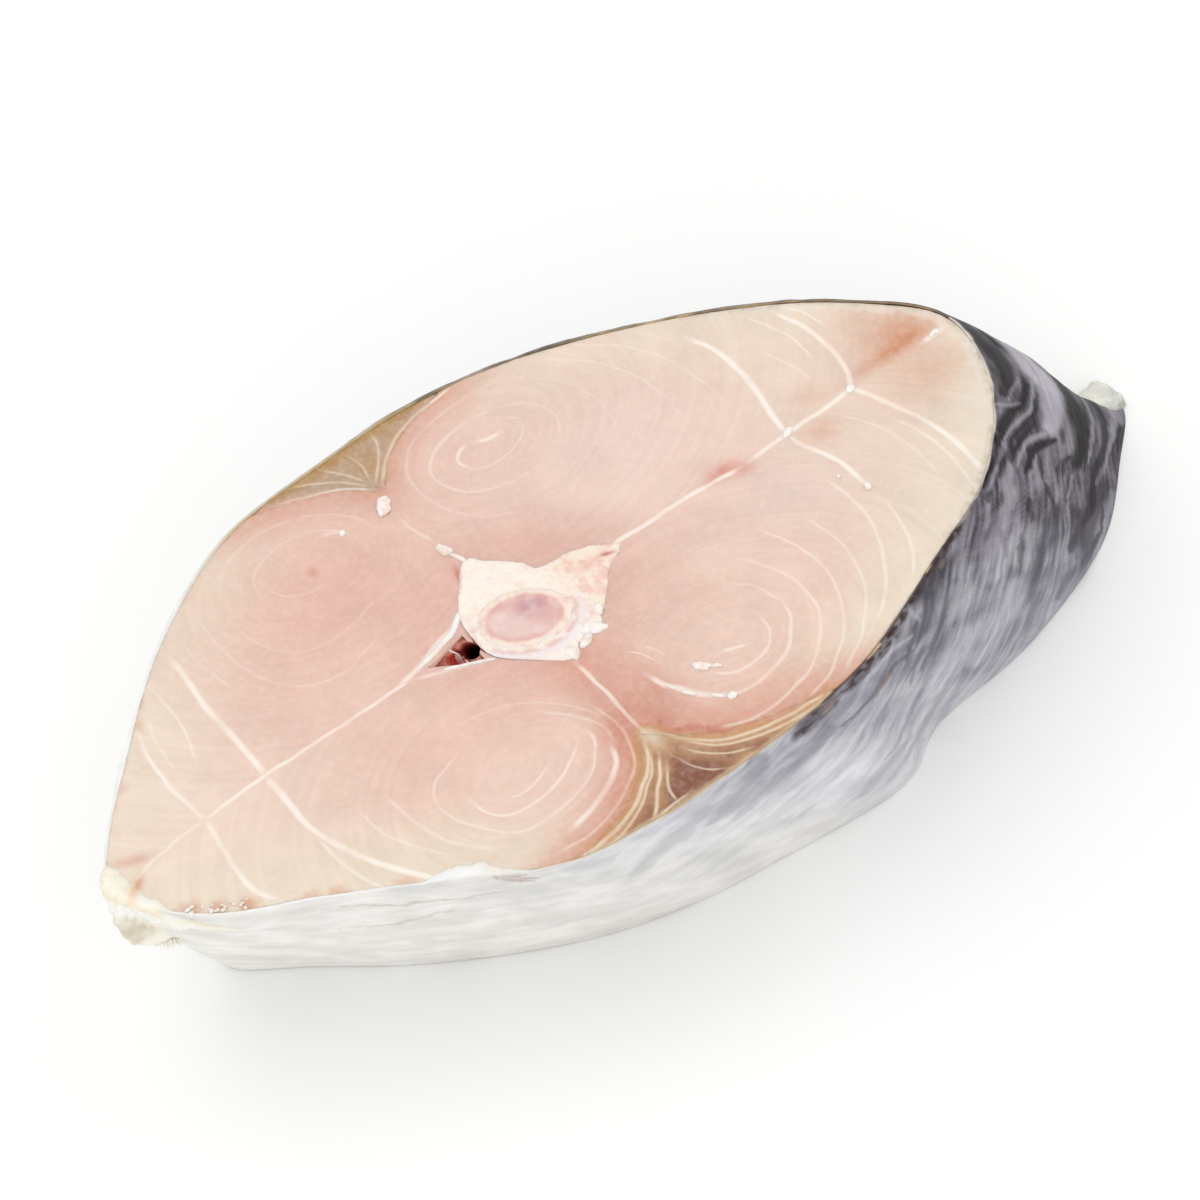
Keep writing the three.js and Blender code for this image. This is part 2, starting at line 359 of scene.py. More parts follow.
ringLines = [
    # rings of the near belly block
    (0.2, 0.75, [(41.1, -21.2), (42.2, -22), (44.5, -21.9), (47.5, -21)]),
    (0.24, 0.75, [(37.6, -19), (38, -21.6), (39.6, -23.4), (43, -24), (47, -23.4), (50.2, -22.2),
                  (51.8, -21)]),
    (0.22, 0.55, [(40.5, -12.9), (36.5, -14), (34.3, -16.4), (34.3, -19), (36, -22.8), (38.6, -25.9),
                  (42.5, -26.8), (47.5, -26.2), (51.3, -24.6), (54, -21.6)]),
    (0.3, 0.9, [(54.2, -20.6), (53.9, -21.8), (53.2, -22.8)]),
    (0.24, 0.4, [(52, -14.5), (54.5, -17.5), (56, -20.8), (55.6, -23.6)]),
    (0.42, 0.95, [(55, -23.6), (54, -25.4), (52.6, -26.8), (50.2, -28.1), (47, -29.1), (43.5, -29.7)]),
    (0.24, 0.45, [(57.2, -18), (57.6, -22), (56.6, -25.4), (54, -28.4), (50, -30.4), (45, -31.6),
                  (40, -31.2)]),
    (0.2, 0.3, [(44, -9.4), (50, -11.4), (54.4, -15), (57, -19.5)]),
    # rings of the near back block
    (0.3, 0.8, [(74.2, -22), (75.6, -22.6), (77.2, -23.3)]),
    (0.26, 0.7, [(71, -23.6), (73, -25.2), (76, -25.9), (79, -25.1), (80.9, -23.3), (81.3, -21)]),
    (0.55, 1, [(65.3, -18.8), (65.7, -21.2), (66.9, -23.6), (68, -25.2), (69.4, -26.7), (70.4, -27.6)]),
    (0.3, 0.7, [(70.4, -27.7), (74, -28.3), (78, -27.9), (81.2, -26.4), (83.8, -24), (84.8, -21.4)]),
    (0.24, 0.5, [(84.8, -21.4), (84.4, -17.4), (82, -14.6)]),
    (0.28, 0.6, [(66, -30.2), (70, -31.8), (75.5, -32), (80, -31), (84, -28.6), (87, -25.4),
                 (88.4, -21.6), (88.2, -17.4), (86, -13)]),
    (0.26, 0.55, [(77, -34), (82, -32.8), (86.2, -30.2), (90, -26.2), (92.3, -22), (92.7, -17),
                  (91, -11)]),
    (0.26, 0.55, [(83, -34), (88, -31.6), (92.4, -28), (95.4, -24), (97, -18.4), (96.5, -13)]),
    (0.3, 0.6, [(91.5, -31), (96, -28), (99, -24.6), (101.6, -20.4), (103, -15.6), (103, -10.5)]),
    (0.3, 0.6, [(99.5, -29), (102.6, -26), (104.7, -22), (105.8, -18)]),
    (0.16, 0.6, [(65.8, -14.6), (66.8, -16), (67.4, -17.8)]),
    (0.16, 0.5, [(67.6, -15.2), (68.4, -16.4), (68.9, -18)]),
    # rings of the far back block
    (0.4, 0.85, [(74.6, 23.5), (76.2, 22.9), (78, 22.8)]),
    (0.3, 0.75, [(73.6, 24.1), (71.9, 23.6), (70.9, 22.2), (71.4, 20.4)]),
    (0.2, 0.35, [(71.4, 20.4), (73.8, 19.2), (77, 19.4), (80.2, 20.8), (81.4, 22.8), (79.4, 24.8)]),
    (0.26, 0.45, [(80, 26.6), (75.5, 27), (71.2, 26.3), (68.3, 24.6), (67, 22.4), (67.2, 19.8),
                  (69, 17.4), (72.4, 15.6), (77, 15.2)]),
    (0.22, 0.3, [(80, 26.6), (84.2, 24), (85.2, 20.2), (83, 16.6)]),
    (0.26, 0.3, [(84, 29.8), (77, 30.2), (70, 29.2), (65.8, 26.4), (64.2, 22.6), (64.6, 17.6),
                 (67, 13.6), (71, 11)]),
    (0.22, 0.25, [(86, 28.4), (89.6, 24.4), (91, 19.6), (90, 13.6)]),
    (0.24, 0.32, [(90, 29.4), (94.4, 25), (97, 20), (97.8, 14.4), (97, 9)]),
    (0.24, 0.35, [(95.4, 28), (99.4, 24), (102, 19.4), (103, 14), (102.8, 8)]),
    (0.22, 0.3, [(101, 25.6), (104, 22.6), (105.4, 19)]),
    # rings of the far belly block
    (0.3, 0.5, [(50.4, 24.2), (51.8, 23.6), (52.8, 22.6)]),
    (0.2, 0.25, [(40.2, 22.4), (41, 19.6), (43.6, 17.9), (46.6, 18)]),
    (0.22, 0.28, [(38.6, 21), (40, 24.4), (44, 26.3), (48.6, 26), (51.6, 24.4), (53.4, 21.4)]),
    (0.22, 0.24, [(35, 25), (39, 28.4), (45, 29.6), (50.6, 28.2), (54.8, 24.8), (56.6, 20)]),
    (0.24, 0.26, [(30.8, 23), (30.2, 17), (31, 11.4), (34, 7), (39, 5.6), (45, 6.8)]),
    (0.2, 0.22, [(33.6, 20), (34.4, 14.6), (37.8, 11), (43, 10.4), (49, 12)]),
    (0.2, 0.3, [(27.4, 22.4), (27, 17), (27.4, 12)]),
]
darkLines = [
    # layers of the near dark muscle
    (0.22, 0.8, [(58.2, -26.2), (56.6, -28.2), (54, -30.4), (50, -32.3), (45, -33.3), (40.6, -33.4)]),
    (0.16, 0.7, [(57.6, -27.6), (55.4, -30), (52.4, -32), (48.6, -33.6), (45, -34.2)]),
    (0.2, 0.8, [(58, -28.6), (55.8, -31), (53.2, -33.4), (51.2, -34.8)]),
    (0.16, 0.75, [(57.6, -30.4), (56.2, -32), (55.4, -33.6), (55.2, -34.8)]),
    (0.16, 0.7, [(52, -34.9), (54.5, -34.7), (57, -34.9)]),
    (0.14, 0.6, [(59.3, -30.2), (60, -32), (61, -33.8), (62.4, -35)]),
    (0.14, 0.6, [(60.8, -29.8), (62.2, -31.8), (64.2, -33.6), (67, -34.9)]),
    (0.2, 0.75, [(60.6, -26.6), (62, -28.8), (64.4, -31.2), (68, -33), (73, -34.2), (79, -34.8)]),
    (0.18, 0.7, [(61.4, -28.6), (63.6, -31.4), (66.8, -33.4), (71, -34.7), (76, -35.4)]),
    # layers of the far dark muscle
    (0.2, 0.55, [(60.2, 26), (57.4, 28.4), (53.6, 30.4), (49, 31.8)]),
    (0.18, 0.5, [(60.2, 26.6), (58, 29.4), (55, 31.8), (52.6, 33)]),
    (0.16, 0.5, [(60.4, 27.4), (59.2, 30), (57.4, 32.6)]),
    (0.16, 0.5, [(60.9, 27.6), (61.6, 30.2), (61.2, 33)]),
    (0.18, 0.55, [(61.2, 26.8), (63.6, 29.2), (65.4, 31.4), (66, 33.2)]),
    (0.2, 0.6, [(61.6, 26.2), (65, 29.2), (69, 31.2), (74, 32.5), (79, 33)]),
]


def curveThrough(points, step=0.2):  # a smooth curve through points: places and directions every step mm
    p = np.array(points, float)
    p = np.vstack([2 * p[0] - p[1], p, 2 * p[-1] - p[-2]])
    places = []
    for a, b, c, d in zip(p[:-3], p[1:-2], p[2:-1], p[3:]):
        t = np.linspace(0, 1, max(2, ceil(np.hypot(*(c - b)) / step)), endpoint=False)[:, None]
        places.append(0.5 * (2 * b + (c - a) * t + (2 * a - 5 * b + 4 * c - d) * t ** 2
                             + (3 * b - a - 3 * c + d) * t ** 3))
    places = np.vstack(places + [p[-2:-1]])
    along = np.gradient(places, axis=0)
    return places, along / np.hypot(*along.T)[:, None]


def offsetFrom(places, along, x, y):  # signed distance from a curve, distance past its ends, nearest step
    tree = nearestTree(places)
    nearest = np.array([tree.find((px, py, 0))[1] for px, py in zip(x.tolist(), y.tolist())])
    dx, dy = x - places[nearest, 0], y - places[nearest, 1]
    ax, ay = along[nearest].T
    return ax * dy - ay * dx, ax * dx + ay * dy, nearest


lineLook = {
    "partitions": (0.9, 0.86), "rings": (0.75, 0.68), "dark": (1, 1),  # shares of width and whiteness
    "gap": 2.1,  # least gap in mm between the lines of one layer
}


def gapBetween(places, others):
    return np.hypot(*(places[:, None] - others[None]).transpose(2, 0, 1)).min()


def sortLines():  # lines into as few layers as keep the lines of one layer apart
    layers = []
    for kind, lines in (("partitions", partitionLines), ("rings", ringLines), ("dark", darkLines)):
        widthShare, whiteShare = lineLook[kind]
        for halfWidth, white, points in lines:
            places, along = curveThrough(points)
            steps = len(places)
            fade = np.minimum(np.arange(steps), np.arange(steps)[::-1]) / max(3, min(7, steps * 0.2))
            strength = white * whiteShare * (0.25 + 0.75 * smooth(fade, 0, 1))
            line = (places, along, strength, np.full(steps, halfWidth * widthShare))
            for layer in layers:
                if all(gapBetween(places, other[0]) > lineLook["gap"] for other in layer):
                    layer.append(line)
                    break
            else:
                layers.append([line])
    return [[np.concatenate(parts) for parts in zip(*layer)] for layer in layers]


lineLayers = sortLines()
print("lines of the cut in", len(lineLayers), "layers")


def lineValues(layer, x, y):  # signed distance, whiteness and half width of the nearest line, for each point
    places, along, strength, halfWidth = layer
    distance, past, nearest = offsetFrom(places, along, x, y)
    near = smooth(np.abs(distance), 1.0, 0.5) * smooth(np.abs(past), 0.9, 0.3)
    return np.column_stack([distance, strength[nearest] * near, halfWidth[nearest]])


# The colour of the cut, in large soft areas.
tones = palette({
    "pink": "#e8c8b9", "lightPink": "#edd2c3", "palePink": "#ead4c9", "deepPink": "#e3b6a7",
    "rose": "#db9585", "bellyCream": "#efdbcb", "backCream": "#ead6c6", "edgeCream": "#ebdecb",
    "fat": "#e9dfd1", "rimShade": "#c9b9a4", "nearBone": "#dfb2a4", "salmon": "#d59a86", "stain": "#d39673",
    "blood": "#c97a67", "brown": "#ab7f5c", "darkBrown": "#8a5842", "tan": "#c59a74", "gold": "#c98f52",
    "partition": "#e8d6ba", "farBrown": "#bca087", "farGold": "#b48d58", "recess": "#8e2a20",
})
nearBorder = curveThrough([  # between the light and the dark muscle
    (30, -36), (38, -34.2), (42, -33.4), (47, -32.6), (51.5, -31), (55.3, -28.2), (58.9, -24.2),
    (61.4, -27.2), (64.4, -30.3), (68.5, -32.7), (74, -34.2), (81, -35.3), (88, -37),
])
farBorder = curveThrough([
    (86, 36), (79, 33.4), (73.5, 32.4), (69, 31), (65, 28.9), (60.8, 25), (57, 28.3), (53, 30.6), (48, 32.2),
    (42, 33.6), (36, 36),
])
sideLine = curveThrough([(60.3, -11), (59.8, -16), (59.3, -21), (59, -24.6)])


def spot(x, y, middle, radius, turn=0.0):  # a soft round or oval area, 1 in its middle
    radius = np.broadcast_to(np.asarray(radius, float), (2,))
    dx, dy = x - middle[0], y - middle[1]
    along = dx * np.cos(turn) + dy * np.sin(turn)
    across = dy * np.cos(turn) - dx * np.sin(turn)
    return np.exp(-((along / radius[0]) ** 2 + (across / radius[1]) ** 2))


def cutTone(x, y, edge):
    flat = flatPlaces(x, y)
    cloud = noiseAt(flat, 16, 2)
    mottle = noiseAt(flat + 40, 5, 2)
    ragged = noiseAt(flat + 23, 1.4, 2)
    bloodPatches = smooth(noiseAt(flat + 11, 1.3, 2), -0.25, 0.15)
    bone = np.hypot((x - 61.5) / 1.25, y + 1) - 8
    nearIn = -offsetFrom(*nearBorder, x, y)[0]
    farIn = -offsetFrom(*farBorder, x, y)[0]
    sideGap = np.hypot(*offsetFrom(*sideLine, x, y)[:2])
    isNear = y < 0
    rim = smooth(edge + 2 * cloud, 13, 1) * smooth(np.abs(x - 61), 10, 26) * np.where(isNear, 0.85, 0.55)
    rimStain = smooth(edge, 1.6, 0.3) * smooth(mottle, 0, 0.4) * smooth(x, 40, 20)
    rimShade = smooth(edge + 0.5 * ragged, 1, 0.4) * smooth(x, 100, 116) * smooth(ragged, -0.3, 0.3)
    bloodLine = smooth(np.abs(nearIn + 0.9), 1.1, 0.2) * smooth(np.abs(x - 63), 4.2, 2.4) * bloodPatches
    darkMiddle = smooth(nearIn, 2.8, 4.6) * smooth(np.abs(x - 58.4), 6, 3)
    darkMottle = smooth(nearIn, 1.5, 3) * smooth(mottle, 0, 0.4)
    farRim = smooth(farIn, 0.3, 1.2) * smooth(edge, 1.8, 0.2)
    farMottle = smooth(mottle, 0, 0.6) * smooth(farIn, 0, 1)
    seam = spot(x, y, (59.2, -25.8), (1, 1.9)) * smooth(nearIn, -0.6, 0.4)

    def spots(*areas):  # each with its strength, middle, radius and turn
        return sum(strength * spot(x, y, *area) for strength, *area in areas)

    tone = layTones(
        tones, "pink",
        ("lightPink", 0.5 * smooth(cloud, -0.2, 0.7)),
        ("bellyCream", smooth(x, np.where(isNear, 40, 32), 13) * 0.85),
        ("backCream", smooth(x, 88, 112) * 0.9),
        ("palePink", spots((0.8, (88, 12), (15, 11)), (0.7, (98, -9), (9, 8)))),
        ("deepPink", spots((0.75, (46, 15), (15, 12)), (0.5, (44, -12), (14, 7)))),
        ("lightPink", spots((0.7, (43, -20), (9, 6)), (0.5, (78, -21), (9, 5)))),
        ("edgeCream", rim),
        ("nearBone", 0.7 * smooth(bone, 9, 0)),
        ("salmon", spots((0.75, (64.3, -21), (3.2, 7)), (0.5, (53, -28.6), (6, 2.2), 0.45))),
        ("stain", spots((0.35, (72, -30), (9, 3)), (0.4, (126, -6), (7, 5)), (0.3, (126, 6), (6, 4)))),
        ("salmon", 0.7 * smooth(sideGap, 6.5, 0.5) + 0.75 * smooth(nearIn + mottle, -6.5, -0.5)),
        ("salmon", 0.55 * smooth(farIn + mottle, -6, -0.5)),
        ("stain", spots((0.75, (128, 1.6), (6, 3.2)), (0.6, (124, -0.3), (8, 1.2)))),
        ("stain", spots((0.45, (108.5, -4.2), (2.6, 2)), (0.3, (111.5, 1.2), (2.4, 1.6)))),
        ("rose", spots((0.9, (94, -0.9), (2.6, 1)), (0.6, (96.4, -2.4), (1.8, 1)))),
        ("blood", spots((0.5, (45.9, 20.3), 0.7), (0.45, (3.7, 0.2), (2.4, 0.7), -0.43))),
        ("blood", spots((0.9, (58.8, 8.2), (1.5, 0.42), 1.15))),
        ("stain", spots((0.8, (2, -2.8), (1.6, 0.6), 0.72)) + 0.5 * rimStain),
        ("stain", spots((0.7, (4.6, -9.6), 0.9), (0.7, (6.9, -11.3), 0.9), (0.7, (9.7, -13), 0.9))),
        ("fat", 0.7 * smooth(edge + 0.8 * ragged, 2, 1) * smooth(x, 100, 122)),
        ("rimShade", 0.75 * rimShade),
        ("fat", spots((0.7, (127, -13), (4.5, 2.2), 0.9))),
        ("gold", 0.75 * smooth(nearIn + 0.6 * mottle, -1.6, 0.3)),
        ("gold", 0.4 * smooth(farIn + 0.6 * mottle, -1.4, 0.3)),
        ("blood", 0.75 * bloodLine),
        ("tan", smooth(nearIn, -0.3, 0.7)),
        ("brown", smooth(nearIn, 0.8, 2.2) * smooth(mottle, -0.6, 0.1)),
        ("darkBrown", darkMiddle + 0.7 * darkMottle),
        ("partition", 0.8 * seam),
        ("farBrown", smooth(farIn, -0.2, 1)),
        ("farGold", farRim + 0.5 * farMottle),
        ("partition", 0.5 * smooth(edge, 0.5, 0.1) * smooth(nearIn, -1, 1)),
    )
    return tone * (0.975 + 0.05 * mottle[:, None] + 0.03 * cloud[:, None])


# The layers of muscle round the middle of each block, as fine streaks.
blockMiddles = [((45.5, -20), (1.25, 0.9), 0.05), ((76, -21.8), (1.3, 0.85), -0.1),
                ((45.9, 20.2), (1.25, 0.9), -0.05), ((75.5, 22.3), (1.35, 0.85), 0.12)]


def grainAt(x, y):  # across and along the layers of each block, in mm
    across, along = np.empty_like(x), np.empty_like(x)
    block = (x > 60.8).astype(int) + 2 * (y > -0.8)
    for i, (middle, stretch, turn) in enumerate(blockMiddles):
        here = block == i
        dx, dy = x[here] - middle[0], y[here] - middle[1]
        u = (dx * np.cos(turn) + dy * np.sin(turn)) / stretch[0]
        v = (dy * np.cos(turn) - dx * np.sin(turn)) / stretch[1]
        across[here] = np.hypot(u, v) + 50 * i
        along[here] = np.arctan2(v, u) * 9
    return flatPlaces(across, along)


cutFace = {  # heights in mm
    "undulation": 0.16, "rimFall": 0.14, "partitionGroove": 0.07, "layerRelief": 0.02, "wander": 0.22,
    "pit": (51, -1.5), "pitRadius": (3.4, 2.2), "pitDepth": (0.2, 1),  # red walls of the opening by the bone
}


def layCutFaces(piece, drop=0.0):  # gives both cut faces their relief, and every point its colour and lines
    points = readPoints(piece)
    x, y = raised(*points.T)
    isUpper, isLower = cutFaces(points)
    edge = np.zeros(len(points))
    edge[isUpper] = distanceTo(upperOutline, *points[isUpper, :2].T)
    edge[isLower] = distanceTo(lowerOutline, *points[isLower, :2].T)
    edge = np.maximum(edge - 0.5, 0)
    flat = flatPlaces(x, y)
    wander = np.column_stack([noiseAt(flat, 5, 2), noiseAt(flat + 70, 5, 2)]) * cutFace["wander"]
    relief = cutFace["undulation"] * noiseAt(flat + 20, 18, 2) - cutFace["rimFall"] * np.exp(-edge / 0.5)
    grain = grainAt(x, y)
    relief += cutFace["layerRelief"] * noiseAt(grain, (1.6, 9, 1), 2)
    for i, layer in enumerate(lineLayers):
        values = lineValues(layer, x + wander[:, 0], y + wander[:, 1])
        relief -= cutFace["partitionGroove"] * values[:, 1] * np.exp(-(values[:, 0] / 0.7) ** 2)
        setVector(piece, "line" + str(i), values)
    setVector(piece, "grain", grain)
    depth = cut["thickness"] - points[:, 2]
    pit = spot(x, y, cutFace["pit"], cutFace["pitRadius"]) * smooth(depth, *cutFace["pitDepth"])
    pit = np.clip(pit * 2.5, 0, 1)[:, None] * (depth < 10)[:, None]
    setTone(piece, cutTone(x, y, edge) * (1 - pit) + tones["recess"] * pit)
    points[isUpper, 2] += relief[isUpper] - drop
    points[isLower, 2] = np.maximum(0.02, drop - relief[isLower] * 0.7)
    writePoints(piece, points)


# Materials. The names in a material are its nodes' outputs.
colourMix = {"data_type": "RGBA", "take": 2}
tinting = {**colourMix, "blend_type": "MULTIPLY"}
softRange = {"interpolation_type": "SMOOTHSTEP"}
waterIor = 1.33


def addNode(tree, kind, inputs=(), take=0, **settings):  # a node with its settings and links; one output
    node = tree.nodes.new("ShaderNode" + kind)
    for key, value in settings.items():
        setattr(node, key, value)
    for key, value in inputs.items() if isinstance(inputs, dict) else enumerate(inputs):
        if isinstance(value, bpy.types.NodeSocket):
            tree.links.new(value, node.inputs[key])
        else:
            node.inputs[key].default_value = value
    return node.outputs[take] if len(node.outputs) else node


def newMaterial(name):  # a material without nodes, and addNode for its tree
    material = bpy.data.materials.new(name)
    material.use_nodes = True
    material.node_tree.nodes.clear()
    return material, partial(addNode, material.node_tree)


def rgba(hexColour):
    return (*toLinear(hexColour), 1.0)


# raw fish muscle, cut wet: milky, see-through for a few mm, with a wet gloss
def wetMuscle(name, lineColour):
    material, add = newMaterial(name)
    place = add("TexCoord", take="Object")
    tone = add("Attribute", attribute_name="tone")
    grain = add("Attribute", attribute_name="grain", take="Vector")
    streakPlace = add("VectorMath", (grain, (1.25, 0.11, 1)), operation="MULTIPLY")  # layers of 0.8 mm
    streaks = add("TexNoise", {
        "Vector": streakPlace, "Scale": 1, "Detail": 3, "Roughness": 0.55, "Distortion": 0.4})
    fibrePlace = add("VectorMath", (grain, (0.3, 1.9, 1)), operation="MULTIPLY")  # fibres cross them
    fibres = add("TexNoise", {"Vector": fibrePlace, "Scale": 1, "Roughness": 0.6, "Distortion": 0.3})
    fine = add("TexNoise", {"Vector": place, "Scale": 1000 / 0.9, "Detail": 3, "Roughness": 0.6})
    patches = add("TexNoise", {"Vector": place, "Scale": 1000 / 6})
    lines = 0.0
    for i in range(len(lineLayers)):
        layer = add("Attribute", attribute_name="line" + str(i), take="Vector")
        distance, white, halfWidth = add("SeparateXYZ", (layer,)).node.outputs
        width = add("Math", (halfWidth, 0.05), operation="MAXIMUM")
        away = add("Math", (add("Math", (distance,), operation="ABSOLUTE"), width), operation="DIVIDE")
        line = add("Math", (add("MapRange", (away, 1.7, 0.35), **softRange), white), operation="MULTIPLY")
        lines = add("Math", (lines, line), operation="MAXIMUM")
    fading = add("MapRange", (patches, 0.3, 0.6, 0.55, 1), **softRange)
    lines = add("Math", (lines, fading), operation="MULTIPLY")
    darker = add("Mix", {0: 1, 6: tone, 7: rgba("#f6f0ec")}, **tinting)
    share = add("MapRange", (streaks, 0.36, 0.66, 0.5, 0.9), **softRange)
    base = add("Mix", {0: share, 6: darker, 7: tone}, **colourMix)
    share = add("MapRange", (fibres, 0.5, 0.8, 0, 0.07), **softRange)
    base = add("Mix", {0: share, 6: base, 7: rgba("#fbeee2")}, **colourMix)
    share = add("MapRange", (fine, 0.42, 0.7, 0, 0.1), **softRange)
    base = add("Mix", {0: share, 6: base, 7: rgba("#fff4ec")}, **colourMix)
    base = add("Mix", {0: lines, 6: base, 7: rgba(lineColour)}, **colourMix)
    height = add("Math", (streaks, 0.1), operation="MULTIPLY")
    height = add("Math", (fine, 0.4, height), operation="MULTIPLY_ADD")
    height = add("Math", (lines, 0.5, height), operation="MULTIPLY_ADD")
    bump = add("Bump", {"Height": height, "Strength": 0.35, "Distance": 0.00025})
    shader = add("BsdfPrincipled", {
        "Base Color": base, "Roughness": add("MapRange", (patches, 0.3, 0.7, 0.3, 0.46), **softRange),
        "IOR": 1.38, "Normal": bump, "Subsurface Weight": 0.35, "Subsurface Radius": (1, 0.42, 0.28),
        "Subsurface Scale": 0.0012, "Coat Weight": 0.25, "Coat Roughness": 0.18, "Coat IOR": waterIor,
    })
    add("OutputMaterial", (shader,))
    return material


fleshFinish = wetMuscle("wet_raw_muscle", "#fbf2e8")
darkFinish = wetMuscle("wet_dark_muscle", "#ead9bd")

# The flesh and the dark muscle.
fleshBlock = {
    "low": (-3, -38.5), "high": (138, 36.5), "cell": 0.42, "grow": 0.3,
    "rimGap": 0.46, "wallGap": 0.75,  # least gaps to the skin's outer face
    "rimDepth": (0.6, 1.4),  # below the upper face, where the first becomes the second
    "arteryRoom": {"x": 51.85, "y": -1.75, "radius": 1.42, "low": 24, "high": 33},
}


def keepUnderSkin(piece):  # draws in what comes too close to the skin's outer face
    points = readPoints(piece)
    dx, dy, size, reach = centreToWall(points)
    inWall = smooth(cut["thickness"] - points[:, 2], *fleshBlock["rimDepth"])
    gap = fleshBlock["rimGap"] + (fleshBlock["wallGap"] - fleshBlock["rimGap"]) * inWall
    share = np.minimum(1, (reach - gap) / np.maximum(size, 1))
    points[:, :2] += np.column_stack([dx, dy]) * (share - 1)[:, None]
    writePoints(piece, points)


def roundCutter(size):  # a round post that leans as the fish does
    bm = bmesh.new()
    bmesh.ops.create_cone(bm, cap_ends=True, segments=48, radius1=size["radius"], radius2=size["radius"],
                          depth=size["high"] - size["low"])
    for vert in bm.verts:
        z = vert.co.z + (size["high"] + size["low"]) / 2
        vert.co = (*lowered(vert.co.x + size["x"], vert.co.y + size["y"], z), z)
    return meshObject(bm, "post")


def makeFlesh():
    flesh = cutSlab("flesh_body", fleshBlock["low"], fleshBlock["high"], fleshBlock["cell"])
    combine(flesh, throughCutter("flesh", fleshBlock["grow"], fleshBlock["grow"]), "INTERSECT")
    combine(flesh, roundCutter(fleshBlock["arteryRoom"]), "DIFFERENCE")
    keepUnderSkin(flesh)
    layCutFaces(flesh)
    finishPiece(flesh, fleshFinish, ["flesh"])


darkMuscle = {
    "cell": 0.24, "grow": 0.3, "drop": 0.02,
    "boxes": {"dark_muscle_near": ((38, -38), (86, -23)), "dark_muscle_far": ((40, 23), (83, 36))},
}


def makeDarkMuscle(node):
    wedge = cutSlab(node + "_body", *darkMuscle["boxes"][node], darkMuscle["cell"])
    combine(wedge, throughCutter(node, darkMuscle["grow"], darkMuscle["grow"]), "INTERSECT")
    layCutFaces(wedge, darkMuscle["drop"])
    finishPiece(wedge, darkFinish, [node])


makeFlesh()
for darkNode in darkMuscle["boxes"]:
    makeDarkMuscle(darkNode)


# Pieces wrapped round a line, from a grid that closes both ways round.
def wrappedGrid(name, around, rows, place, poles=False):  # place gives the points for shares u and v
    bm = bmesh.new()
    bmesh.ops.create_grid(bm, x_segments=around, y_segments=rows, size=0.5)
    piece = meshObject(bm, name)
    points = readPoints(piece)
    writePoints(piece, place(points[:, 0] + 0.5, points[:, 1] + 0.5))
    bm = bmesh.new()
    bm.from_mesh(piece.data)
    bmesh.ops.remove_doubles(bm, verts=bm.verts, dist=0.0005)
    if poles:
        bmesh.ops.dissolve_degenerate(bm, edges=bm.edges, dist=0.0005)
    bmesh.ops.recalc_face_normals(bm, faces=bm.faces[:])
    bm.to_mesh(piece.data)
    bm.free()
    return piece


def wallFrame(angle, z):  # a point of the skin's outer face and the way straight out of it
    x, y = wallPoint(angle, z)
    ax, ay = np.array(wallPoint(angle + 0.003, z)) - np.array(wallPoint(angle - 0.003, z))
    size = np.hypot(ax, ay)
    return x, y, ay / size, -ax / size


# The skin.
skinBand = {
    "rimThickness": 0.5, "lift": 0.12, "around": 1080, "wallRows": 70, "rimRows": 6,
    "inner": (  # heights and depths of the inner face
        (29.7, 0.5), (29.3, 0.55), (28.6, 0.9), (26.5, 0.9), (24, 0.9), (18, 0.9), (9, 0.9), (0.12, 0.9)),
    "rimWave": 0.2, "wrinkle": 0.1, "crease": 0.16, "tint": (0.965, 0.955, 0.94),
    "folds": (  # distance from the back ridge and height of the middle, radii, and how far it stands out
        ((37.5, 3.2), (4.5, 2.6), 0.75), ((20, 6), (6, 2), 0.35), ((52, 1.5), (6, 2.5), 0.3)),
    "flap": {"from": 25.5, "full": 28.8, "fading": 30.5, "to": 36, "over": 1.5, "rise": 0.3},  # over the cut
}
skinTones = [  # how far back on the upper face, the darker and the lighter colour of the pattern there
    (0, "#e6e5e0", "#fbfbf8"), (22, "#e4e3df", "#faf9f6"), (42, "#d9d9d7", "#f2f1ee"),
    (58, "#cccdd4", "#ebecef"), (75, "#a9aab5", "#d3d4da"), (90, "#82818c", "#bfbec6"),
    (105, "#5c5863", "#bebcc4"), (118, "#2a212a", "#9f9ba5"), (130, "#1e151c", "#97949c"),
    (138, "#1e151c", "#908c94"),
]
rimTones = [  # the colour of the rim, by the same distance
    (0, "#f3f1ec"), (30, "#f5f4f1"), (40, "#e0d6c2"), (50, "#cfb98f"), (72, "#c9b083"), (76, "#6a605c"),
    (108, "#5a504f"), (112, "#aca399"), (118, "#dfd5c6"), (138, "#dfd6c8"),
]
markTones = palette({"torn": "#453737", "stain": "#a58f80", "fat": "#cdb98f"})
climbStops = (  # how steeply the streaks climb, by the distance from the back ridge
    (0, 12, 25, 45, 65, 80, 105, 125, 170),
    (0.05, 0.25, 0.45, 0.55, 0.5, 0.2, 0.3, 0.05, 0.04),
)
